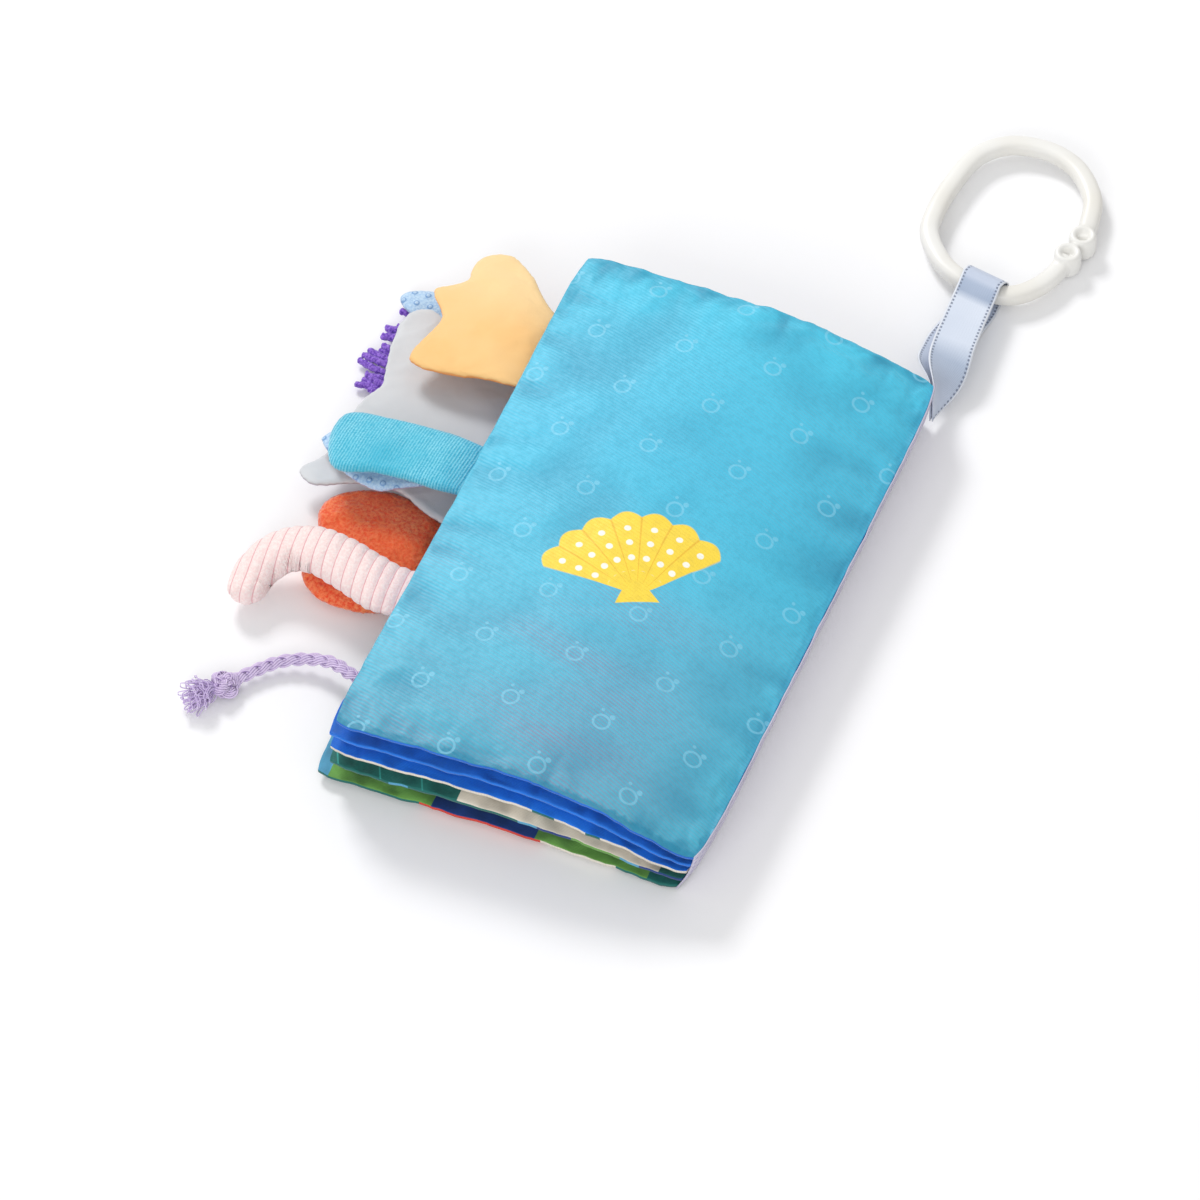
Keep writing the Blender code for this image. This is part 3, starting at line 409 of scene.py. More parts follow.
def banded_finish(name, stops, wave, seed, stalk_colour=None):
    """A cloth printed in wide wavy fields of colour, with a few fine curved stalks where asked."""
    finish = cotton(name, stops[0][1])
    x, y, _ = finish.parts(finish.place())
    from_end = (y + 0.11) / 0.22
    sway = (from_end * 5.5 + seed).sine() * from_end.rise(0.03, 0.35) * wave
    field = (x + sway + 0.068) / 0.134
    colour = finish.ramp(field, stops, "CONSTANT")
    if stalk_colour:
        bend = ((y + 0.11) * 75).sine() * 0.45
        stalk = ((x / (15.0 * MM) + seed * 0.3 + bend).fraction() - 0.5) * 15.0 * MM
        stalk = stalk.size().fall(0.15 * MM, 0.40 * MM) * x.fall(-0.028, -0.024)
        colour = finish.mix(stalk * 0.85, colour, stalk_colour)
    shade_cloth(finish, colour)
    return finish


def blue_finish(name, tone, pale, seed):
    """A deep blue cloth with paler drifting waves in its middle."""
    finish = cotton(name, tone)
    x, y, _ = finish.parts(finish.place())
    crest = ((y + (x * 110 + seed).sine() * 3.0 * MM) / (34.0 * MM)).fraction() - 0.5
    band = crest.size().fall(0.02, 0.05) * y.size().fall(0.075, 0.085) * x.size().fall(0.04, 0.05)
    colour = finish.mix(band * 0.8, tone, pale)
    shade_cloth(finish, colour)
    return finish


def wadding_finish(name):
    """Loose white fibre."""
    finish = Finish(name, linear(236, 236, 232), 0.95)
    finish.bump(finish.noise(300.0, 4.0), 0.4 * MM)
    return finish


BLUE = linear(2, 122, 236)
DEEP_BLUE = linear(2, 112, 224)
CREAM = linear(242, 234, 218)
DARK_TEAL = linear(4, 108, 100)
GREEN = linear(112, 172, 78)
NAVY = linear(12, 62, 136)
LIGHT_BLUE = linear(88, 172, 212)
RED = linear(226, 66, 46)


def page_finishes():
    """Each page's lower and upper cloth."""
    under = banded_finish("outer_print", (
        (0.0, DARK_TEAL), (0.30, RED), (0.62, CREAM), (0.82, DARK_TEAL), (1.0, DARK_TEAL),
    ), 9.0 * MM, 1.0)
    lining = banded_finish("green_print", (
        (0.0, LIGHT_BLUE), (0.055, GREEN), (0.33, NAVY), (0.605, GREEN), (0.90, DARK_TEAL),
    ), 12.0 * MM, 2.0)
    patches = banded_finish("patch_print", (
        (0.0, DARK_TEAL), (0.22, LIGHT_BLUE), (0.27, DARK_TEAL), (0.56, LIGHT_BLUE), (0.61, NAVY),
        (0.70, GREEN), (0.83, LIGHT_BLUE), (0.88, NAVY),
    ), 8.0 * MM, 3.0)
    shore = banded_finish("shore_print", (
        (0.0, LIGHT_BLUE), (0.035, DARK_TEAL), (0.40, CREAM), (0.93, DARK_TEAL), (1.0, DARK_TEAL),
    ), 10.0 * MM, 4.0, linear(60, 176, 166))
    sand = banded_finish("sand_print", (
        (0.0, CREAM), (0.60, DARK_TEAL), (0.66, CREAM), (0.74, DARK_TEAL), (0.78, CREAM),
    ), 7.0 * MM, 5.0)
    lagoon = blue_finish("blue_print", BLUE, linear(60, 150, 220), 1.0)
    deep = blue_finish("deep_blue_print", DEEP_BLUE, linear(40, 120, 200), 3.0)
    return {
        "bottom_cover": (under, lining), "leaf_3": (patches, shore), "leaf_2": (sand, lagoon),
        "leaf_1": (lagoon, deep), "top_cover": (deep, cover_finish()),
    }


def frame_joint(name):
    """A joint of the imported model, or nothing where it has none of that name."""
    return next((joint for joint in frame["joints"] if joint["name"] == name), None)


def placed(name, data):
    """An object in the scene for a mesh, a lamp or a camera."""
    holder = bpy.data.objects.new(name, data)
    bpy.context.scene.collection.objects.link(holder)
    return holder


def as_mesh(name, bm):
    """A bmesh's shape as a mesh, with its faces pointing out."""
    bm.normal_update()
    bmesh.ops.recalc_face_normals(bm, faces=bm.faces[:])
    mesh = bpy.data.meshes.new(name)
    bm.to_mesh(mesh)
    bm.free()
    return mesh


def shown(name, bm, finishes):
    """A smooth piece of the object from a bmesh."""
    mesh = as_mesh(name, bm)
    for finish in finishes:
        mesh.materials.append(finish.material)
    mesh.shade_smooth()
    piece = placed(name, mesh)
    return piece


def grid(columns, rows):
    """A flat grid of squares, from -0.5 to 0.5 both ways."""
    bm = bmesh.new()
    bmesh.ops.create_grid(bm, x_segments=columns, y_segments=rows, size=0.5)
    return bm


def thicken(piece, thickness):
    """Give a sheet its thickness."""
    solid = piece.modifiers.new("thickness", "SOLIDIFY")
    solid.thickness = thickness
    return solid


def soften(bm):
    """Smooth a skin once."""
    bmesh.ops.smooth_vert(bm, verts=bm.verts[:], factor=0.5, use_axis_x=True, use_axis_y=True,
                          use_axis_z=True)


def move_points(bm, changes):
    """Move each point of a skin by its own change."""
    for vertex, change in zip(bm.verts, changes):
        vertex.co += change


def smooth_line(points, steps):
    """A smooth curve through points, with a number of steps in each span."""
    points = [Vector(point) for point in points]
    points = [2 * points[0] - points[1], *points, 2 * points[-1] - points[-2]]
    found = []
    for before, start, end, after in zip(points, points[1:], points[2:], points[3:]):
        for step in range(steps):
            t = step / steps
            found.append(
                0.5 * (2 * start + (end - before) * t
                       + (2 * before - 5 * start + 4 * end - after) * t ** 2
                       + (3 * start - before - 3 * end + after) * t ** 3)
            )
    found.append(points[-2].copy())
    return found


def along_line(line, share):
    """The place and heading at a share of a line's points."""
    spot = share * (len(line) - 1)
    index = min(int(spot), len(line) - 2)
    place = line[index].lerp(line[index + 1], spot - index)
    before, after = line[max(index - 1, 0)], line[min(index + 2, len(line) - 1)]
    return place, (after - before).normalized()


def tube(rings, sides, place):
    """A closed tube: a grid bent round by place(share along, turn), merged and filled at its ends."""
    bm = grid(sides, rings)
    cloth = bm.loops.layers.uv.new("cloth")
    for face in bm.faces:
        for loop in face.loops:
            loop[cloth].uv = (loop.vert.co.x + 0.5, loop.vert.co.y + 0.5)
    for vertex in bm.verts:
        vertex.co = place(vertex.co.y + 0.5, 2 * math.pi * (vertex.co.x + 0.5))
    bmesh.ops.remove_doubles(bm, verts=bm.verts[:], dist=0.0005 * MM)
    bmesh.ops.holes_fill(bm, edges=[edge for edge in bm.edges if edge.is_boundary], sides=0)
    return bm


def joined(parts):
    """Several bmeshes as one."""
    whole = bmesh.new()
    for part in parts:
        mesh = as_mesh("part", part)
        whole.from_mesh(mesh)
        bpy.data.meshes.remove(mesh)
    return whole


def even_skin(bm, voxel, rounds=3):
    """The same shape as an even skin of small squares, a little softened."""
    mesh = as_mesh("skin", bm)
    holder = placed("skin", mesh)
    remesh = holder.modifiers.new("even", "REMESH")
    remesh.mode = "VOXEL"
    remesh.voxel_size = voxel
    graph = bpy.context.evaluated_depsgraph_get()
    skin = bmesh.new()
    skin.from_mesh(holder.evaluated_get(graph).to_mesh())
    bpy.data.objects.remove(holder)
    bpy.data.meshes.remove(mesh)
    for _ in range(rounds):
        soften(skin)
    return skin


def settle(bm, held, spare, pressure, cap):
    """Let padded cloth swell and pucker by simulation: held points stay, none moves past the cap."""
    mesh = bpy.data.meshes.new("settle")
    bm.to_mesh(mesh)
    bag = placed("settle", mesh)
    bag.vertex_groups.new(name="held").add(held, 1.0, "REPLACE")
    loose = bag.vertex_groups.new(name="spare")
    for index, share in enumerate(spare):
        loose.add([index], share, "REPLACE")
    cloth = bag.modifiers.new("cloth", "CLOTH")
    cloth.collision_settings.use_collision = False
    cloth.point_cache.frame_end = SETTLE_FRAMES
    settings = cloth.settings
    settings.vertex_group_mass = "held"
    settings.vertex_group_shrink = "spare"
    settings.shrink_min = -SPARE_IN_MIDDLE
    settings.shrink_max = -SPARE_AT_SEAM
    settings.mass = 0.02
    settings.bending_stiffness = 0.3
    settings.use_pressure = True
    settings.uniform_pressure_force = pressure
    settings.effector_weights.gravity = 0.0
    for step in range(1, SETTLE_FRAMES + 1):
        bpy.context.scene.frame_set(step)
    settled = bag.evaluated_get(bpy.context.evaluated_depsgraph_get()).to_mesh()
    for vertex, moved in zip(bm.verts, settled.vertices):
        change = moved.co - vertex.co
        if change.length:
            vertex.co += change * (cap * math.tanh(change.length / cap) / change.length)
    bpy.data.objects.remove(bag)
    bpy.data.meshes.remove(mesh)
    bpy.context.scene.frame_set(1)


def refine(bm):
    """Halve every square of a skin and smooth it once more."""
    bmesh.ops.subdivide_edges(bm, edges=bm.edges[:], cuts=1, use_grid_fill=True, smooth=0.0)
    soften(bm)


def ripple(place, spacing, seed):
    """Smooth noise at a place, about -1 to 1."""
    return noise.noise(place / spacing + Vector((seed * 7.3, seed * 3.1, seed * 1.7)))


def eased(share):
    """A share eased at both ends, kept from 0 to 1."""
    share = min(1.0, max(0.0, share))
    return share * share * (3 - 2 * share)


def stack_height(share):
    """Height of the whole stack, from the spine at 0 to the fore edge at 1."""
    if share < 0.5:
        rise = math.sin(math.pi * share) ** 1.3
        return STACK_AT_SPINE + (STACK_AT_MIDDLE - STACK_AT_SPINE) * rise
    fall = (2 * share - 1) ** 2
    return STACK_AT_MIDDLE - (STACK_AT_MIDDLE - STACK_AT_FORE_EDGE) * fall


def bulge(share):
    """How full a pillow is, from 0 at its seams to 1 in the middle."""
    return max(0.0, 1 - abs(share) ** 4) ** 0.6


class Page:
    """One padded page: the places of its skins, worked out from its node's box."""

    def __init__(self, number):
        self.number = number
        self.name = PAGES[number]
        low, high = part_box(f"{self.name}_upper_cloth")
        self.fore, self.spine = low.x, high.x
        self.half_width = (self.spine - self.fore) / 2
        self.half_length = (high.y - low.y) / 2 + END_OVERHANG

    def inside(self, across, along, inset):
        """The same place on a layer whose edges lie that far inside the seams."""
        return 0.5 + (across - 0.5) * (1 - inset / self.half_width), along * (1 - inset / self.half_length)

    def plan(self, across, along):
        """Plan place: drawn-in sides, rounded corners and the tucked-in fore edge."""
        swing = 1 - 2 * across
        corner = CORNER_CUT * CORNER_RADIUS * abs(swing * along) ** 12
        x = (self.spine + self.fore) / 2 + swing * (self.half_width - corner)
        if swing < 0:
            tuck = FORE_TUCKS[self.number] * eased((along + 0.92) / 0.4)
            x += (SIDE_DRAW_IN * (1 - along ** 2) + tuck) * swing ** 2
        spot = Vector((x, along * self.half_length, self.number * 50 * MM))
        corner += END_RAGGEDNESS * abs(ripple(spot, 5.5 * MM, 8)) * abs(along) ** 6
        return x, along * (self.half_length - corner - SIDE_DRAW_IN * (1 - swing ** 2))

    def seam(self, across, along):
        """Height of the seam, wandering a little at the rim."""
        rim = max(abs(1 - 2 * across), abs(along)) ** 8
        spot = Vector((across * 2 * self.half_width, along * self.half_length, self.number * MM * 40))
        wander = ripple(spot, SEAM_WANDER_SPACING, 3) * SEAM_WANDER * rim
        wander += ripple(spot, SEAM_GATHER_SPACING, 5) * SEAM_GATHER * rim ** 2
        return stack_height(across) * (self.number + 0.5) / len(PAGES) + wander

    def dent(self, across, along, side):
        """How far the cloth sinks into its puckers and creases."""
        x, y = across * 2 * self.half_width, along * self.half_length
        seed = self.number * 5 + side * 2
        depth = 0.0
        for distance, place, (reach, spacing, most) in (
            (x, y, SPINE_PUCKER),
            (2 * self.half_width - x, y, FORE_PUCKER),
            (self.half_length - abs(y), x, END_PUCKER),
        ):
            spot = Vector((place, distance * 0.35 + place * 0.1, seed * 40 * MM))
            fold = max(0.0, ripple(spot, spacing, seed) + 0.12)
            start = min(1.0, distance / (1.6 * MM))
            depth += most * fold * start * math.exp(-(distance / reach) ** 1.5)
        spot = Vector((x * 1.5 + y * 0.5, y - x * 0.4, seed * 60 * MM))
        crease = max(0.0, ripple(spot, SOFT_CREASE_SPACING, seed + 9))
        return depth + SOFT_CREASE_DEPTH * crease

    def skin(self, across, along, side, share=1.0):
        """Height of the upper or lower cloth, or of a layer at a share of the way out to it."""
        layer = stack_height(across) / len(PAGES)
        fullness = bulge(1 - 2 * across) * bulge(along)
        swell = (layer - PAGE_GAP - RIM_THICKNESS) / 2 * fullness
        seam = self.seam(across, along)
        if side < 0 and self.number == 0:
            outer = max(0.02 * MM, (seam - RIM_THICKNESS / 2) * (1 - min(1.0, fullness / 0.75)))
        else:
            dent = min(self.dent(across, along, side), swell * 0.8)
            outer = seam + side * (RIM_THICKNESS / 2 + swell - dent)
        return seam + (outer - seam) * share


def crowded(share):
    """A share with its places closer at both ends."""
    return share - CROWDING * math.sin(2 * math.pi * share) / (2 * math.pi)


def cover_puckers():
    """The moves of a cover's cloth that a simulation gives, as a function of the place on a page."""
    page = Page(len(PAGES) - 1)
    bm = grid(SHEET_COLUMNS, SHEET_ROWS)
    spots = {vertex: (vertex.co.x + 0.5, 2 * vertex.co.y) for vertex in bm.verts}
    cells = [(round((vertex.co.x + 0.5) * SHEET_COLUMNS), round((vertex.co.y + 0.5) * SHEET_ROWS))
             for vertex in bm.verts]
    for vertex, (across, along) in spots.items():
        vertex.co = (*page.plan(across, along), page.skin(across, along, 1))
    starts = [vertex.co.copy() for vertex in bm.verts]
    held = [index for index, vertex in enumerate(bm.verts) if vertex.is_boundary]
    spare = []
    for across, along in spots.values():
        from_side = min(across, 1 - across) * 2 * page.half_width
        from_end = (1 - abs(along)) * page.half_length
        spare.append(math.exp(-(min(from_side, from_end) / SPARE_REACH) ** 2))
    bm.normal_update()
    if bm.faces[:][0].normal.z < 0:
        bmesh.ops.reverse_faces(bm, faces=bm.faces[:])
    settle(bm, held, spare, 1.0, SHEET_CAP)
    moves = {cell: vertex.co - start for cell, vertex, start in zip(cells, bm.verts, starts)}
    bm.free()

    def moved(across, along):
        """The move at a place on a page, between the simulated sheet's points."""
        column, row = across * SHEET_COLUMNS, (along + 1) / 2 * SHEET_ROWS
        left, low = min(int(column), SHEET_COLUMNS - 1), min(int(row), SHEET_ROWS - 1)
        part, rise = column - left, row - low
        near = moves[left, low].lerp(moves[left + 1, low], part)
        far = moves[left, low + 1].lerp(moves[left + 1, low + 1], part)
        return near.lerp(far, rise)

    return moved


def page_solid(page, columns, rows, share, inset, puckers=None):
    """A closed pillow over the page's grid: its upper faces take the second material."""
    bm = grid(columns, rows)
    fold = bm.verts.layers.float.new("fold")
    lower = bm.verts[:]
    raised = bmesh.ops.extrude_face_region(bm, geom=bm.faces[:], use_keep_orig=True)["geom"]
    upper = {part for part in raised if isinstance(part, bmesh.types.BMVert)}
    last = page.number == len(PAGES) - 1
    for side, vertices in ((1, upper), (-1, lower)):
        amount = 1.0 if last and side > 0 else side * INNER_PUCKERS
        for vertex in vertices:
            across, along = crowded(vertex.co.x + 0.5), 2 * crowded(vertex.co.y + 0.5) - 1
            across, along = page.inside(across, along, inset)
            vertex.co = (*page.plan(across, along), page.skin(across, along, side, share))
            # The fold attribute carries the crease depth that the finishes turn into painted shade.
            vertex[fold] = min(1.0, page.dent(across, along, side) / FOLD_SHADE) if share == 1 else 0.0
            if puckers and (page.number or side > 0):
                vertex.co += puckers(across, -along if page.number % 2 else along) * amount
    for face in bm.faces:
        face.material_index = 1 if sum(vertex in upper for vertex in face.verts) > 2 else 0
    return bm


def build_pages():
    """Every page's printed cloths, with its wadding and film inside."""
    finishes = page_finishes()
    wadding = wadding_finish("white_wadding")
    film = Finish("crinkle_film", linear(215, 222, 232), 0.25, Specular_IOR_Level=0.6)
    film.bump(film.noise(160.0, 5.0), 0.5 * MM)
    puckers = cover_puckers()
    for number, name in enumerate(PAGES):
        page = Page(number)
        bm = page_solid(page, PAGE_COLUMNS, PAGE_ROWS, 1.0, 0.0, puckers)
        cloth = shown(f"{name}_cloth", bm, finishes[name])
        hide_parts(f"{name}_upper_cloth", f"{name}_lower_cloth")
        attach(cloth, name)
        bm = page_solid(page, *WADDING_GRID, WADDING_SHARE, WADDING_INSET)
        filling = shown(f"{name}_filling", bm, (wadding,))
        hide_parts(f"{name}_wadding")
        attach(filling, name)
        crinkle(page, film)


def crinkle(page, film):
    """The crinkle film over the wadding, a thin sheet with sharp small creases."""
    bm = grid(*FILM_GRID)
    for vertex in bm.verts:
        across, along = page.inside(vertex.co.x + 0.5, 2 * vertex.co.y, FILM_INSET)
        crease = 0.5 + 0.5 * ripple(Vector((across * 0.13, along * 0.11, 0.0)), 7.0 * MM, page.number)
        share = FILM_SHARES[0] + FILM_SHARES[1] * crease
        vertex.co = (*page.plan(across, along), page.skin(across, along, 1, share))
    sheet = shown(f"{page.name}_film", bm, (film,))
    thicken(sheet, FILM_THICKNESS)
    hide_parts(f"{page.name}_crinkle_film")
    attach(sheet, page.name)


def build_spine():
    """The spine's cloth in four bands, each spanning one fold between two pages."""
    finish = cotton("spine_print", linear(200, 195, 215))
    _, y, z = finish.parts(finish.place())
    speck = ((y / (3.2 * MM)).fraction() - 0.5) ** 2 + ((z / (2.6 * MM)).fraction() - 0.5) ** 2
    colour = finish.mix(speck.fall(0.03, 0.07) * 0.7, linear(206, 200, 220), linear(150, 140, 190))
    shade_cloth(finish, colour)
    edges = [Page(number).spine for number in (0, len(PAGES) - 1)]
    low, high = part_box("spine_cloth")
    bottom, top = low.z + SPINE_FROM_BOTTOM, high.z - SPINE_FROM_TOP

    def line(height):
        """Where the pages' spine edges stand at a height."""
        share = (height / STACK_AT_SPINE * len(PAGES) - 0.5) / (len(PAGES) - 1)
        return edges[0] + (edges[1] - edges[0]) * share

    for number in range(len(PAGES) - 1):
        heights = [STACK_AT_SPINE * (number + share + 0.5) / len(PAGES) for share in (0, 1)]
        start = bottom if number == 0 else heights[0]
        end = top if number == len(PAGES) - 2 else heights[1]
        bm = grid(130, 10)
        for vertex in bm.verts:
            height = start + (end - start) * (vertex.co.y + 0.5)
            share = 2 * vertex.co.x
            along = share * (high.y - SPINE_FROM_END)
            bow = SPINE_BOW * math.sin(math.pi * (height - low.z) / (high.z - low.z))
            pleat = SPINE_PLEAT * ripple(Vector((along, height * 0.5, 0.0)), 7.0 * MM, 4)
            corner = SPINE_CORNER * abs(share) ** 14
            vertex.co = (line(height) + SPINE_STAND_OFF + bow + pleat - corner, along, height)
        band = shown(f"spine_band_{number + 1}", bm, (finish,))
        thicken(band, SPINE_THICKNESS)
        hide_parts("spine_cloth")
        line(heights[0])
        line(heights[1])
        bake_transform(band)


def flap_shell(name):
    """The outer skin of a sewn tail as one closed shape, from its two CAD cloths."""
    halves = []
    for half, facing in (("upper_cloth", 1), ("lower_cloth", -1)):
        bm = bmesh.new()
        bm.from_mesh(frame["nodes"][f"{name}_{half}"].data)
        bmesh.ops.remove_doubles(bm, verts=bm.verts[:], dist=0.01 * MM)
        bm.normal_update()
        inner = [face for face in bm.faces if face.normal.z * facing < 0.06]
        bmesh.ops.delete(bm, geom=inner, context="FACES")
        halves.append(bm)
    whole = joined(halves)
    bmesh.ops.bridge_loops(whole, edges=[edge for edge in whole.edges if edge.is_boundary])
    return whole


def build_flap(name, finishes, page, voxel, wrinkle, spacing, filling=None, dots=False,
               nap=0.0, far_draw=1.2 * MM, near_draw=1.2 * MM, draw_reach=12.0 * MM):
    """A sewn tail: its skin puckered from the seam, its sides drawn in at the root."""
    bm = even_skin(flap_shell(name), voxel)
    bm.normal_update()
    sides = [vertex for vertex in bm.verts if abs(vertex.normal.z) < 0.35]
    rim = KDTree(len(sides))
    for index, vertex in enumerate(sides):
        rim.insert((*vertex.co.xy, 0.0), index)
    rim.balance()
    distance = [rim.find((*vertex.co.xy, 0.0))[2] for vertex in bm.verts]
    held = [index for index, away in enumerate(distance) if away < HELD_RIM]
    spare = [math.exp(-(away / SPARE_REACH * 2) ** 2) for away in distance]
    settle(bm, held, spare, 0.6, FLAP_CAP)
    bm.normal_update()
    root = max(vertex.co.x for vertex in bm.verts)
    tuck = FORE_TUCKS[PAGES.index(page)] + ROOT_TUCK
    sides = [vertex.co.y for vertex in bm.verts if vertex.co.x > root - 2.0 * MM]
    middle, half = (max(sides) + min(sides)) / 2, (max(sides) - min(sides)) / 2
    shift = []
    for vertex, away in zip(bm.verts, distance):
        crease = ripple(vertex.co, spacing, len(name))
        crease += 0.5 * ripple(vertex.co, spacing * 0.45, len(name) + 3)
        inward = tuck * max(0.0, 1 - (root - vertex.co.x) / ROOT_REACH) ** 2
        draw = far_draw if vertex.co.y > middle else near_draw
        closer = draw * eased(1 - (root - vertex.co.x) / draw_reach) * (middle - vertex.co.y) / half
        shift.append(vertex.normal * wrinkle * crease * min(1.0, 0.3 + away / (5.0 * MM))
                     + Vector((inward, closer, 0.0)))
    move_points(bm, shift)
    refine(bm)
    bm.normal_update()
    if dots or nap:
        raise_pile(bm, nap, dots)
        bm.normal_update()
    for face in bm.faces:
        face.material_index = 1 if face.normal.z < -0.1 and len(finishes) > 1 else 0
    flap = shown(f"{name}_skin", bm, finishes)
    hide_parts(f"{name}_upper_cloth", f"{name}_lower_cloth")
    carry(flap, page, name, root)
    if filling:
        dress(f"{name}_stuffing", filling)


def raise_pile(bm, nap, dots):
    """Move a skin's points by its pile and, on its upper side, by rows of raised dots."""
    changes = []
    for vertex in bm.verts:
        change = nap * ripple(vertex.co, 1.1 * MM, 5)
        if dots and vertex.normal.z > 0.3:
            pitch = DOT_SPACING * DOT_ROWS
            row = math.floor(vertex.co.y / pitch)
            across = ((vertex.co.x / DOT_SPACING + 0.5 * (row % 2)) % 1 - 0.5) * DOT_SPACING
            along = (vertex.co.y / pitch % 1 - 0.5) * pitch
            change += DOT_HEIGHT * math.exp(-((across ** 2 + along ** 2) / DOT_RADIUS ** 2))
        changes.append(vertex.normal * change)
    move_points(bm, changes)


def carry(flap, page, name, root):
    """Hang a tail from its page where it has no joint; a tail with a joint only has its place baked into its
    points.
    """
    hinge = frame_joint(f"{name}_lift")
    if hinge is None:
        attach(flap, page)
        return
    _, y, z = hinge["pos_m"]
    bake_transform(flap)


def dress(node_name, finish):
    """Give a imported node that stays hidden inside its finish."""
    materials = frame["nodes"][node_name].data.materials
    materials.clear()
    materials.append(finish.material)


def satin(name, colour, shade, side_shade_colour, far_colour=None):
    """A smooth satin with a soft sheen, painted shade in soft cloudy creases and on its sides that face away
    from above, and, where asked, a paler far part.
    """
    finish = Finish(name, colour, 0.42, Sheen_Weight=0.15, Sheen_Roughness=0.35)
    # Painted shade: soft cloudy creases darken towards the shade colour.
    cloud = finish.noise(38.0, 3.0)
    tone = finish.mix(cloud.rise(0.35, 0.7) * 0.5, colour, shade)
    if far_colour:
        y = finish.parts(finish.place())[1]
        tone = finish.mix(y.rise(0.066, 0.100) * 0.8, tone, far_colour)
    # Painted shade: darker where the surface faces sideways or down.
    facing = finish.parts(finish.add("ShaderNodeNewGeometry", output="Normal"))[2]
    tone = finish.mix(facing.fall(0.05, 0.75) * 0.8, tone, side_shade_colour)
    finish.set("Base Color", tone)
    finish.set("Roughness", 0.38 + cloud * 0.2)
    threads = finish.weave(0.42 * MM)
    finish.bump(threads + finish.noise(240.0, 3.0) * 1.5, 0.07 * MM)
    return finish


def napped(name, colour, light, dark, scale, depth, sheen=0.6, rows=None):
    """A soft pile: fine speckle, a bloom of sheen, soft patches of painted shade, and rows where the pile is
    ribbed.
    """
    finish = Finish(name, colour, 0.9, Sheen_Weight=sheen, Sheen_Roughness=0.4)
    speckle = finish.noise(scale, 3.0, roughness=0.65)
    drift = finish.noise(60.0, 2.0)
    height = speckle
    if rows:
        x, y, _ = finish.parts(finish.place())
        across = (x * math.cos(rows[1]) + y * math.sin(rows[1])) * (2 * math.pi / rows[0])
        line = across.sine() * 0.5 + 0.5
        height = speckle + line * 0.35
        tone = finish.mix((speckle * 0.75 + line * 0.25).rise(0.3, 0.75), dark, light)
    else:
        tone = finish.mix(speckle.rise(0.3, 0.72), dark, light)
    tone = finish.mix(drift.rise(0.35, 0.7) * 0.55, tone, colour)
    # Painted shade: soft darker patches over the pile.
    tone = finish.mix(finish.noise(42.0, 2.0).rise(0.5, 0.72) * 0.35, tone, dark)
    finish.set("Base Color", tone)
    finish.set("Roughness", 0.8 + speckle * 0.2)
    finish.bump(height, depth)
    return finish


def minky():
    """Pale blue minky with raised dots and painted shade round the foot of each dot."""
    finish = napped("dotted_minky", linear(178, 208, 236), linear(196, 222, 244), linear(158, 192, 226),
                    1300.0, 0.25 * MM)
    x, y, _ = finish.parts(finish.place())
    rows = y / (DOT_SPACING * DOT_ROWS)
    across = ((x / DOT_SPACING + (rows.whole() * 0.5).fraction()).fraction() - 0.5) * DOT_SPACING
    along = (rows.fraction() - 0.5) * DOT_SPACING * DOT_ROWS
    away = (across ** 2 + along ** 2).root()
    # Painted shade: a darker ring round each raised dot, where it meets the pile.
    ring = away.rise(0.45 * MM, 0.8 * MM) * away.fall(0.9 * MM, 1.35 * MM)
    tone = finish.mix(finish.noise(1300.0, 3.0).rise(0.3, 0.7), linear(160, 194, 228), linear(196, 222, 244))
    finish.set("Base Color", finish.mix(ring * 0.7, tone, linear(88, 138, 196)))
    return finish


def build_tails():
    """The seven fabric tails along the fore edge."""
    filling = wadding_finish("tail_filling")
    orange = satin("orange_satin", linear(248, 200, 130), linear(246, 184, 104), linear(232, 136, 64),
                   linear(248, 216, 158))
    grey = satin("grey_satin", linear(214, 216, 219), linear(204, 206, 209), linear(162, 162, 166))
    speckled = satin("speckled_lining", linear(214, 208, 222), linear(196, 186, 208), linear(170, 160, 186))
    teal = napped("teal_velour", linear(66, 188, 216), linear(140, 222, 240), linear(44, 168, 202),
                  1500.0, 0.30 * MM, rows=(1.05 * MM, math.radians(-5)))
    red = napped("red_plush", linear(250, 98, 42), linear(254, 150, 98), linear(234, 66, 28),
                 900.0, 0.45 * MM, sheen=0.8)
    dotted = minky()
    flat, plump = 0.30 * MM, 0.5 * MM
    build_flap("orange_tail", (orange,), "leaf_1", 1.0 * MM, plump, 12.0 * MM,
               far_draw=4.6 * MM, near_draw=-2.0 * MM)
    build_flap("teal_tail", (teal,), "leaf_1", 1.0 * MM, plump, 13.0 * MM,
               filling, nap=0.10 * MM)
    fins = (("far_dotted_tail", "leaf_3", 1.2 * MM), ("near_dotted_tail", "leaf_2", 8.0 * MM))
    for name, page, draw in fins:
        build_flap(name, (dotted, speckled), page, 0.8 * MM, flat, 10.0 * MM,
                   dots=True, near_draw=draw, draw_reach=28.0 * MM)
    build_flap("grey_tail", (grey, speckled), "leaf_3", 1.1 * MM, flat, 16.0 * MM,
               far_draw=-5.0 * MM, near_draw=0.0)
    build_flap("red_tail", (red,), "bottom_cover", 1.0 * MM, plump, 12.0 * MM,
               filling, nap=0.22 * MM)
    build_pink(filling)


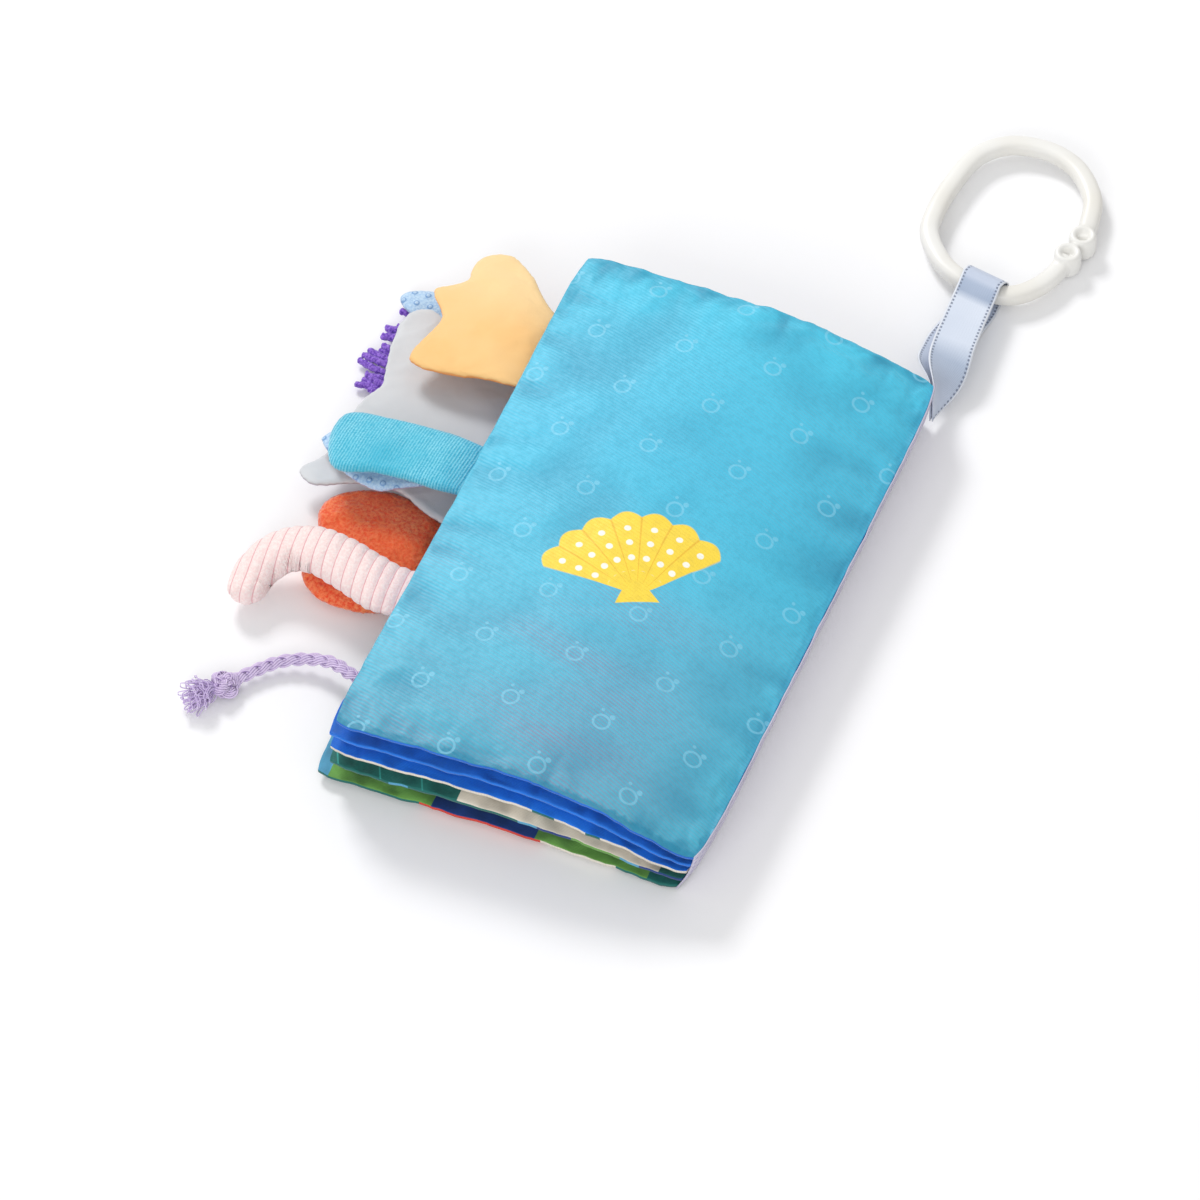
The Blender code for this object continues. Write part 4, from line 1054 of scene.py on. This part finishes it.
# Ribbed tail: route out from the fore edge, along it and down; its width and height along the route
PINK_LENGTH = 54.5 * MM
PINK_REACH = 19.0 * MM
PINK_DROP = 10.3 * MM
PINK_WIDTH = 19.0 * MM
PINK_HEIGHT = 12.5 * MM
PINK_ROUTE = (
    (0.0, 0.0, 0.0), (0.20, 0.12, 0.24), (0.46, 0.36, 0.27), (0.68, 0.46, 0.28),
    (0.86, 0.36, 0.50), (0.97, 0.0, 0.74), (1.0, -0.40, 0.94), (0.97, -0.80, 1.0),
)
PINK_WIDTHS = (1.10, 1.08, 1.0, 0.96, 0.90, 0.82, 0.74, 0.62)
PINK_HEIGHTS = (0.22, 0.80, 1.0, 1.0, 0.98, 0.92, 0.86, 0.74)
PINK_RIB_PITCH = 4.1 * MM
PINK_RIB_LEAN = 0.06
PINK_RIB_DEPTH = 0.55 * MM


def build_pink(filling):
    """The pink tail: a stuffed tube of wide corduroy, whose ribs keep one direction in plan."""
    finish = Finish("pink_corduroy", linear(248, 220, 216), 0.92, Sheen_Weight=0.5, Sheen_Roughness=0.4)
    x, y, _ = finish.parts(finish.place())
    rib = (x + y * PINK_RIB_LEAN) / PINK_RIB_PITCH
    groove = (rib.fraction() - 0.5).size().rise(0.43, 0.49)
    speckle = finish.noise(1100.0, 3.0, roughness=0.65)
    tone = finish.mix(speckle.rise(0.35, 0.7), linear(246, 217, 214), linear(250, 235, 231))
    # Painted shade in the grooves between the ribs.
    finish.set("Base Color", finish.mix(groove * 0.8, tone, linear(222, 150, 158)))
    finish.bump(speckle, 0.35 * MM)
    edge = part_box("pink_tail_cloth")[1].x
    hinge = frame_joint("pink_tail_lift")["pos_m"]
    root = STACK_AT_FORE_EDGE / 2
    path = [(edge - out * PINK_LENGTH, hinge[1] + aside * PINK_REACH, root - fall * PINK_DROP)
            for out, aside, fall in PINK_ROUTE]
    tuck = FORE_TUCKS[PAGES.index("leaf_2")] + ROOT_TUCK
    line = smooth_line(path, 12)
    widths = smooth_line([(value, 0, 0) for value in PINK_WIDTHS], 12)
    heights = smooth_line([(value, 0, 0) for value in PINK_HEIGHTS], 12)

    def skin_point(share, turn):
        centre, ahead = along_line(line, share)
        side = Vector((-ahead.y, ahead.x, 0.0)).normalized()
        side = Vector((0.0, -1.0, 0.0)).lerp(side, min(1.0, share / 0.25)).normalized()
        wide = along_line(widths, share)[0].x * PINK_WIDTH / 2
        tall = along_line(heights, share)[0].x * PINK_HEIGHT / 2
        if share > 0.9:
            round_off = math.sqrt(max(0.0, 1 - ((share - 0.9) / 0.1004) ** 2))
            wide, tall = wide * round_off, tall * round_off
        across = side * max(0.01 * MM, wide) * math.cos(turn)
        spot = centre + across + Vector((0, 0, max(0.01 * MM, tall) * math.sin(turn)))
        spot.x += tuck * eased(1 - (edge - spot.x) / (9.0 * MM))
        return spot

    bm = tube(300, 60, skin_point)
    bm.normal_update()
    changes = []
    for vertex in bm.verts:
        phase = (vertex.co.x + vertex.co.y * PINK_RIB_LEAN) / PINK_RIB_PITCH
        rib = abs(math.sin(math.pi * phase)) ** 0.6
        crease = 0.35 * MM * ripple(vertex.co, 7.0 * MM, 2) + 0.10 * MM * ripple(vertex.co, 0.9 * MM, 6)
        changes.append(vertex.normal * (crease - PINK_RIB_DEPTH * (1 - rib)))
    move_points(bm, changes)
    skin = shown("pink_tail_skin", bm, (finish,))
    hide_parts("pink_tail_cloth")
    carry(skin, "leaf_2", "pink_tail", edge)
    dress("pink_tail_stuffing", filling)


# Chenille fringe: strands along the tape, in two layers, and the longest strand's share
FRINGE_STRANDS = 22
STRAND_RADIUS = 1.35 * MM
FRINGE_LONGEST = 1.05
FRINGE_NEAR_SHORTER = 10.0 * MM
FRINGE_FAR_SHORTER = 4.5 * MM


def build_fringe():
    """Chenille strands on their tape, each a knobbly worm of short pile with a curled end."""
    finish = Finish("purple_chenille", linear(112, 72, 188), 0.95, Sheen_Weight=0.6, Sheen_Roughness=0.4)
    speckle = finish.noise(1200.0, 3.0, roughness=0.65)
    finish.set("Base Color", finish.mix(speckle.rise(0.3, 0.7), linear(96, 56, 172), linear(164, 122, 228)))
    finish.bump(speckle, 0.4 * MM)
    low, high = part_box("fringe")
    length = (high.x - low.x) / FRINGE_LONGEST
    middle = high.z - 0.9 * MM
    start, end = low.y + 1.5 * MM, high.y - 1.5 * MM
    parts = []
    for strand in range(FRINGE_STRANDS):
        place = strand / (FRINGE_STRANDS - 1)
        y_root = start + (end - start) * place
        reach = length * rng.uniform(1.0, 1.12) - FRINGE_NEAR_SHORTER * max(0.0, 1 - place / 0.4)
        reach -= FRINGE_FAR_SHORTER * max(0.0, place / 0.5 - 1)
        lean = rng.uniform(-3.0, 4.0) * MM
        hook = rng.uniform(-1.5, 2.8) * MM
        lift = (1.1 if strand % 2 else 0.0) * MM

        def pile(share, turn):
            x = high.x - 1.0 * MM - (reach - 1.0 * MM) * share
            y = y_root + 0.9 * MM * math.sin(2 * math.pi * share + strand) + lean * share ** 3
            y += hook * eased((share - 0.86) / 0.14)
            z = middle - 1.3 * MM * math.sin(math.pi / 2 * share) + lift * share
            round_turn = Vector((x, math.cos(turn) * 0.9 * MM, math.sin(turn) * 0.9 * MM + strand * 9 * MM))
            knob = 1 + 0.08 * math.sin(reach * share / (0.40 * MM))
            knob += 0.35 * ripple(round_turn, 0.8 * MM, strand)
            radius = STRAND_RADIUS * knob * math.sqrt(max(0.0, 1 - (2 * abs(share - 0.5)) ** 40))
            return Vector((x, y + radius * math.cos(turn), z + 0.85 * radius * math.sin(turn)))

        parts.append(tube(170, 14, pile))

    def tape(share, turn):
        flat = 0.9 * MM * (1 - (2 * abs(share - 0.5)) ** 30)
        return Vector((high.x - 2.0 * MM + 2.0 * MM * math.cos(turn), start + (end - start) * share,
                       middle + flat * math.sin(turn)))

    parts.append(tube(40, 10, tape))
    fringe = shown("fringe_pile", joined(parts), (finish,))
    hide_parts("fringe")
    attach(fringe, "bottom_cover")


# The cord's route, as listed and the same as in the model
CORD_ROUTE = (
    (-0.0621, -0.0724, 0.0110),
    (-0.0684, -0.0706, 0.0100),
    (-0.0767, -0.0668, 0.0076),
    (-0.0857, -0.0670, 0.0056),
    (-0.0939, -0.0705, 0.0046),
    (-0.0997, -0.0760, 0.0042),
    (-0.1045, -0.0824, 0.0044),
)
CORD_PLAITS = 4.2
CORD_STRANDS = 3
THREADS = 4
THREAD_RADIUS = 0.40 * MM
THREAD_SPACING = 1.9
PLAIT_SWING = 1.15 * MM
PLAIT_LIFT = 0.7 * MM
TUFT_LOOPS = 75
TUFT_FIBRE = 0.19 * MM


def yarn(name, dark, light):
    """Cotton yarn, with a painted highlight along each thread's crown and painted shade down its sides."""
    finish = Finish(name, light, 0.88, Sheen_Weight=0.3, Sheen_Roughness=0.4)
    turn, _, _ = finish.parts(finish.cloth())
    # Painted light and shade: each thread lighter along its crown and darker down its sides.
    crown = ((turn + 0.25).fraction() - 0.5).size()
    speckle = finish.noise(700.0, 2.0)
    finish.set("Base Color", finish.mix(crown.fall(0.08, 0.30) * (speckle * 0.6 + 0.6), dark, light))
    return finish


def thread_tubes(path, count, thick, rings, sides=8):
    """Threads side by side along a path, whose function gives a place and the way out of the bundle."""
    parts = []
    for number in range(count):
        offset = (number - (count - 1) / 2) * thick * THREAD_SPACING

        def thread(share, turn):
            place, outward = path(share)
            ahead = (path(min(1.0, share + 0.002))[0] - path(max(0.0, share - 0.002))[0]).normalized()
            across = ahead.cross(outward).normalized()
            lift = across.cross(ahead)
            round_off = math.sqrt(max(0.02, 1 - (2 * abs(share - 0.5)) ** 60))
            spin = across * math.cos(turn) + lift * math.sin(turn)
            crown = lift * thick * 0.5 * (1 - (2 * offset / (count * thick * THREAD_SPACING)) ** 2)
            return place + across * offset + crown + spin * thick * round_off

        parts.append(tube(rings, sides, thread))
    return parts


def plait_strand(line, strand, plaits):
    """The path of one strand of a flat plait along a line."""
    phase = 2 * math.pi * strand / CORD_STRANDS

    def path(share):
        centre, ahead = along_line(line, share)
        side = Vector((-ahead.y, ahead.x, 0.0)).normalized()
        lift = side.cross(ahead) * -1
        swing = 2 * math.pi * plaits * share + phase
        out = side * PLAIT_SWING * math.sin(swing) + lift * PLAIT_LIFT * math.sin(2 * swing)
        return centre + out, lift + side * 0.9 * math.sin(swing)

    return path


def build_cord():
    """The plaited cord with its knot and its frayed, curled end."""
    finish = yarn("lilac_yarn", linear(150, 124, 178), linear(222, 204, 236))
    line = smooth_line(CORD_ROUTE, 12)
    low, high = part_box("cord_knot")
    middle = (low + high) / 2
    into_knot = smooth_line((*CORD_ROUTE, line[-1].lerp(middle, 0.7)), 12)
    parts = []
    for strand in range(CORD_STRANDS):
        parts += thread_tubes(plait_strand(into_knot, strand, CORD_PLAITS), THREADS, THREAD_RADIUS, 150)
    rope = shown("cord_plait", joined(parts), (finish,))
    knot = build_knot(finish, middle, (high.x - low.x) / 2)
    tuft = build_tuft(yarn("lilac_tuft", linear(204, 184, 226), linear(240, 230, 248)), middle)
    length = sum((after - before).length for before, after in zip(line, line[1:]))
    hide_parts("cord")
    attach(rope, "leaf_3")


def build_knot(finish, middle, half):
    """An overhand knot wound from the same plait."""
    route = []
    for step in range(61):
        angle = 2 * math.pi * step / 60
        reach = 2 + math.cos(3 * angle)
        route.append(middle + Vector((reach * math.cos(2 * angle), reach * math.sin(2 * angle),
                                      1.7 * math.sin(3 * angle))) * half * 0.25)
    parts = []
    for strand in range(CORD_STRANDS):
        parts += thread_tubes(plait_strand(route, strand, 5), THREADS, THREAD_RADIUS, 240)
    bm = joined(parts)
    for vertex in bm.verts:
        vertex.co.z = max(vertex.co.z, 0.15 * MM)
    knot = shown("cord_knot_yarn", bm, (finish,))
    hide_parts("cord_knot")
    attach(knot, "leaf_3")
    return knot


def build_tuft(finish, knot_middle):
    """The frayed end: thin curled loops of loose yarn in a small mop."""
    low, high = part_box("cord_tuft")
    middle = (low + high) / 2
    half = (high - low) / 2
    away = (middle - knot_middle).normalized()
    root = knot_middle + away * 2.5 * MM
    parts = []
    for _ in range(TUFT_LOOPS):
        target = Vector((rng.uniform(-1, 1), rng.uniform(-1, 1), rng.uniform(-0.8, 0.9))).normalized()
        target = (target + away * 0.3).normalized()
        reach = Vector((target.x * half.x, target.y * half.y, target.z * half.z))
        tip = middle + reach * rng.uniform(0.6, 1.3)
        turn = away.cross(target) * rng.uniform(1.5, 3.5) * MM * rng.choice((-1, 1))
        line = smooth_line((root, root.lerp(tip, 0.55) + turn, tip + turn * 0.7, tip + target * 0.8 * MM,
                            tip - turn * 0.7, root.lerp(tip, 0.6) - turn * 0.6), 6)
        for point in line:
            point.z = max(point.z, 0.4 * MM)

        def fibre(share, angle):
            centre, ahead = along_line(line, share)
            side = ahead.cross(Vector((0.3, 0.2, 1.0))).normalized()
            lift = ahead.cross(side)
            return centre + (side * math.cos(angle) + lift * math.sin(angle)) * TUFT_FIBRE

        parts.append(tube(30, 6, fibre))
    tuft = shown("cord_tuft_yarn", joined(parts), (finish,))
    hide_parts("cord_tuft")
    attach(tuft, "leaf_3")
    return tuft


# Link ring: half sizes of its bar's centreline, and the places that shape it
RING_SHARES = (
    (1.03, -0.04), (1.0, 0.20), (0.89, 0.54), (0.54, 0.86), (0.10, 1.0), (-0.38, 0.97),
    (-0.70, 0.81), (-0.88, 0.56), (-0.97, 0.16), (-0.99, -0.20), (-0.91, -0.52), (-0.52, -0.85),
    (0.01, -1.0), (0.48, -0.97), (0.80, -0.70), (0.95, -0.314),
)
RING_MIDDLE = Vector((62.8 * MM, 200.5 * MM, 5.2 * MM))
RING_HALF_WIDTH = 25.8 * MM
RING_HALF_LENGTH = 33.8 * MM
BAR_HALF_WIDTH = 3.4 * MM
BAR_HALF_HEIGHT = 3.0 * MM
CUP_RADIUS = 4.8 * MM
CUP_HALF_HEIGHT = 4.5 * MM
DIMPLE_RADIUS = 2.5 * MM


def ring_spot(share_x, share_y):
    """A place on the ring's bar."""
    return RING_MIDDLE + Vector((share_x * RING_HALF_WIDTH, share_y * RING_HALF_LENGTH, 0.0))


def build_ring():
    """The moulded link ring: an oval bar of rounded section, and two dimpled snap cups at its ends."""
    finish = Finish("white_plastic", linear(243, 241, 235), 0.34, Coat_Weight=0.15, Coat_Roughness=0.25,
                    Specular_IOR_Level=0.45)
    cloud = finish.noise(45.0, 2.0)
    finish.set("Base Color", finish.mix(cloud.rise(0.3, 0.7), linear(236, 235, 231), linear(229, 226, 218)))
    finish.set("Roughness", 0.30 + cloud * 0.14)
    finish.bump(finish.noise(260.0, 3.0), 0.04 * MM)
    line = smooth_line([ring_spot(*share) for share in RING_SHARES], 12)

    def bar(share, turn):
        centre, ahead = along_line(line, share)
        side = Vector((-ahead.y, ahead.x, 0.0)).normalized()
        wide = math.copysign(abs(math.cos(turn)) ** 0.75, math.cos(turn)) * BAR_HALF_WIDTH
        tall = math.copysign(abs(math.sin(turn)) ** 0.75, math.sin(turn)) * BAR_HALF_HEIGHT
        return centre + side * wide + Vector((0.0, 0.0, tall))

    parts = [tube(220, 32, bar)]
    for end in (line[0], line[-1]):
        top = CUP_HALF_HEIGHT
        profile = smooth_line((
            (0.0, -top, 0), (CUP_RADIUS * 0.7, -top, 0), (CUP_RADIUS * 0.96, -top * 0.8, 0),
            (CUP_RADIUS, 0, 0), (CUP_RADIUS * 0.97, top * 0.75, 0), (CUP_RADIUS * 0.80, top, 0),
            (DIMPLE_RADIUS, top * 0.9, 0), (DIMPLE_RADIUS * 0.7, top * 0.45, 0), (0.0, top * 0.38, 0),
        ), 4)

        def cup(share, turn):
            spot = along_line(profile, share)[0]
            return end + Vector((spot.x * math.cos(turn), spot.x * math.sin(turn), spot.y))

        parts.append(tube(40, 36, cup))
    bm = even_skin(joined(parts), 0.42 * MM, 5)
    ring = shown("link_ring_plastic", bm, (finish,))
    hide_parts("link_ring")
    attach(ring, "ring")


RIBBON_WIDTH = 15.0 * MM
RIBBON_THICKNESS = 0.35 * MM
RIBBON_ROOT_SPREAD = 0.9 * MM
RIBBON_BOW = 0.6 * MM
RIBBON_SPLAY = 4.6 * MM
RIBBON_TWIST = 0.5
RIBBON_TUCKED_IN = 4.0 * MM
RIBBON_SHADE_LENGTH = 60.0 * MM
RIBBON_HOLE_PITCH = 1.6 * MM
RIBBON_LOOP_ANGLE = math.radians(-11)
RIBBON_LOOP_HEIGHT = 10.1 * MM
RIBBON_LOOP_DEPTH = 10.9 * MM
RIBBON_STEPS = 70
RIBBON_LOOP_STEPS = 24


def build_ribbon():
    """The satin ribbon, from the spine round the ring's bar and back, with stitched edges."""
    finish = Finish("ribbon_satin", linear(198, 210, 228), 0.3, Sheen_Weight=0.2, Sheen_Roughness=0.3,
                    Specular_IOR_Level=0.6)
    across, along, _ = finish.parts(finish.cloth())
    from_edge = 0.5 - (across - 0.5).size()
    cord_line = from_edge.fall(0.035, 0.05)
    holes = ((along / RIBBON_HOLE_PITCH).fraction() - 0.5).size().fall(0.18, 0.30)
    row = (from_edge - 0.070).size().fall(0.016, 0.028) * holes
    cloud = finish.noise(40.0, 2.0)
    # Painted light and shade: bright and dark bands along the ribbon where its satin turns towards or away
    # from the light.
    tone = finish.ramp(along / RIBBON_SHADE_LENGTH, (
        (0.0, linear(204, 213, 230)), (0.12, linear(190, 200, 220)), (0.36, linear(172, 186, 208)),
        (0.52, linear(216, 225, 240)), (0.82, linear(220, 228, 242)), (0.88, linear(152, 168, 194)),
        (0.96, linear(160, 176, 202)), (1.0, linear(196, 206, 226)),
    ))
    tone = finish.mix(cloud.rise(0.3, 0.7) * 0.3, tone, linear(190, 202, 222))
    tone = finish.mix(cord_line, tone, linear(230, 235, 244))
    finish.set("Base Color", finish.mix(row * 0.9, tone, linear(104, 116, 142)))
    threads = (along * (2 * math.pi / (0.5 * MM))).sine()
    finish.set("Roughness", 0.26 + cloud * 0.12 + cord_line * 0.3)
    finish.bump(threads * 0.4 + cord_line * 2 - row * 2, 0.08 * MM)
    axis = Vector((math.cos(RIBBON_LOOP_ANGLE), math.sin(RIBBON_LOOP_ANGLE), 0.0))
    away = Vector((-axis.y, axis.x, 0.0))
    bar = ring_spot(0.06, -1.0) + away * 0.6 * MM
    seam = Vector(frame_joint("ribbon_swing")["pos_m"])
    root = seam - Vector((0.0, RIBBON_TUCKED_IN, 0.0))
    heading = (bar - root).normalized()
    stations = []
    half_loop = RIBBON_LOOP_HEIGHT / 2
    for sign in (1, -1):
        row_stations = []
        for step in range(RIBBON_STEPS + 1):
            share = step / RIBBON_STEPS
            ease = eased(share)
            centre = root.lerp(bar, share)
            centre.z = root.z + (bar.z - root.z) * ease
            flat = Vector((heading.y, -heading.x, 0.0)).normalized().lerp(axis, ease).normalized()
            turn = math.pi / 2 * (1 - eased(share / RIBBON_TWIST) ** 0.8)
            width = flat * math.cos(turn) - Vector((0.0, 0.0, math.sin(turn)))
            normal = Vector((0.0, 0.0, math.cos(turn))) + flat * math.sin(turn)
            apart = RIBBON_ROOT_SPREAD / 2 + (half_loop - RIBBON_ROOT_SPREAD / 2) * ease
            splay = -(RIBBON_BOW if sign > 0 else RIBBON_SPLAY) * math.sin(math.pi * share) ** 2
            row_stations.append((centre + normal * sign * apart + flat * splay, width))
        stations.append(row_stations)
    upper, lower = stations
    loop = []
    for step in range(1, RIBBON_LOOP_STEPS):
        turn = math.pi / 2 - math.pi * step / RIBBON_LOOP_STEPS
        out = away * RIBBON_LOOP_DEPTH / 2 * math.cos(turn)
        loop.append((bar + out + Vector((0.0, 0.0, half_loop * math.sin(turn))), axis))
    route = upper + loop + lower[::-1]
    lengths = [0.0]
    for (before, _), (after, _) in zip(route, route[1:]):
        lengths.append(lengths[-1] + (after - before).length)
    bm = grid(14, len(route) - 1)
    cloth = bm.loops.layers.uv.new("cloth")
    for face in bm.faces:
        for loop_corner in face.loops:
            station = round((loop_corner.vert.co.y + 0.5) * (len(route) - 1))
            loop_corner[cloth].uv = (loop_corner.vert.co.x + 0.5, lengths[station])
    for vertex in bm.verts:
        centre, width = route[round((vertex.co.y + 0.5) * (len(route) - 1))]
        vertex.co = centre + width * vertex.co.x * RIBBON_WIDTH
    ribbon = shown("ribbon_band", bm, (finish,))
    thicken(ribbon, RIBBON_THICKNESS).offset = 0.0
    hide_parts("ribbon_loop")
    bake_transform(ribbon)


# Floor and light
FLOOR_HALF_SIZE = 4.0
FLOOR_CLEARANCE = 0.05 * MM
FLOOR_GLOW = 0.10
SKY_STRENGTH = 0.60
KEY_POWER = 16.5
FILL_POWER = 10.0


def build_floor():
    """A white floor that keeps the object's soft shadow."""
    finish = Finish("floor_white", (0.86, 0.86, 0.87), 0.9, Specular_IOR_Level=0.0)
    ray = finish.add("ShaderNodeLightPath", output="Is Camera Ray")
    finish.set("Emission Color", finish.mix(ray, (0.0, 0.0, 0.0), (1.0, 1.0, 1.0)))
    finish.set("Emission Strength", FLOOR_GLOW)
    bm = bmesh.new()
    bmesh.ops.create_grid(bm, x_segments=1, y_segments=1, size=FLOOR_HALF_SIZE)
    bmesh.ops.translate(bm, vec=(0.0, 0.0, -FLOOR_CLEARANCE), verts=bm.verts[:])
    mesh = bpy.data.meshes.new("floor")
    bm.to_mesh(mesh)
    bm.free()
    mesh.materials.append(finish.material)
    placed("floor", mesh)


def add_lamp(name, place, aim, size, power):
    """A soft square lamp at a place, turned towards a point."""
    lamp = bpy.data.lights.new(name, "AREA")
    lamp.shape = "SQUARE"
    lamp.size = size
    lamp.energy = power
    holder = placed(name, lamp)
    holder.location = place
    holder.rotation_euler = (Vector(aim) - Vector(place)).to_track_quat("-Z", "Y").to_euler()


def build_light():
    """Soft daylight from all round, a broad key from the far left and a low fill."""
    world = bpy.data.worlds.new("studio")
    bpy.context.scene.world = world
    world.use_nodes = True
    tree = world.node_tree
    background = tree.nodes["Background"]
    path = tree.nodes.new("ShaderNodeLightPath")
    strength = tree.nodes.new("ShaderNodeMix")
    strength.inputs[2].default_value = SKY_STRENGTH
    strength.inputs[3].default_value = 1.0
    seen = tree.nodes.new("ShaderNodeMath")
    seen.operation = "MAXIMUM"
    tree.links.new(path.outputs["Is Camera Ray"], seen.inputs[0])
    tree.links.new(path.outputs["Is Glossy Ray"], seen.inputs[1])
    tree.links.new(seen.outputs[0], strength.inputs[0])
    tree.links.new(strength.outputs[0], background.inputs["Strength"])
    background.inputs["Color"].default_value = (1.0, 1.0, 1.0, 1.0)
    add_lamp("key", (-0.95, 0.92, 1.25), (0.0, 0.0, 0.0), 0.5, KEY_POWER)
    add_lamp("fill", (0.2, -1.4, 0.8), (0.0, 0.0, 0.0), 1.0, FILL_POWER)


def build_camera():
    """The camera where the photograph's stood, turned to the middle of its frame."""
    back = Vector((math.sin(VIEW_AZIMUTH) * math.cos(VIEW_ELEVATION),
                   -math.cos(VIEW_AZIMUTH) * math.cos(VIEW_ELEVATION), math.sin(VIEW_ELEVATION)))
    right = Vector((math.cos(VIEW_AZIMUTH), math.sin(VIEW_AZIMUTH), 0.0))
    up = back.cross(right)
    place = SIGHT_POINT + back * FOCAL_PIXELS / PIXELS_PER_METRE
    sight = (-back * FOCAL_PIXELS + right * (FRAME_PIXELS / 2 - SIGHT_PIXEL[0])
             - up * (FRAME_PIXELS / 2 - SIGHT_PIXEL[1])).normalized()
    straight = Matrix((right, up, back)).transposed()
    turn = (-back).rotation_difference(sight).to_matrix()
    data = bpy.data.cameras.new("camera")
    data.sensor_width = 36.0
    data.lens = 36.0 * FOCAL_PIXELS / FRAME_PIXELS
    data.clip_end = 20.0
    camera = placed("camera", data)
    camera.matrix_world = Matrix.Translation(place) @ (turn @ straight).to_4x4()
    bpy.context.scene.camera = camera


build_camera()
build_light()
build_floor()
build_cord()
build_pages()
build_spine()
build_tails()
build_fringe()
build_ring()
build_ribbon()
bpy.context.scene.view_settings.view_transform = "Standard"
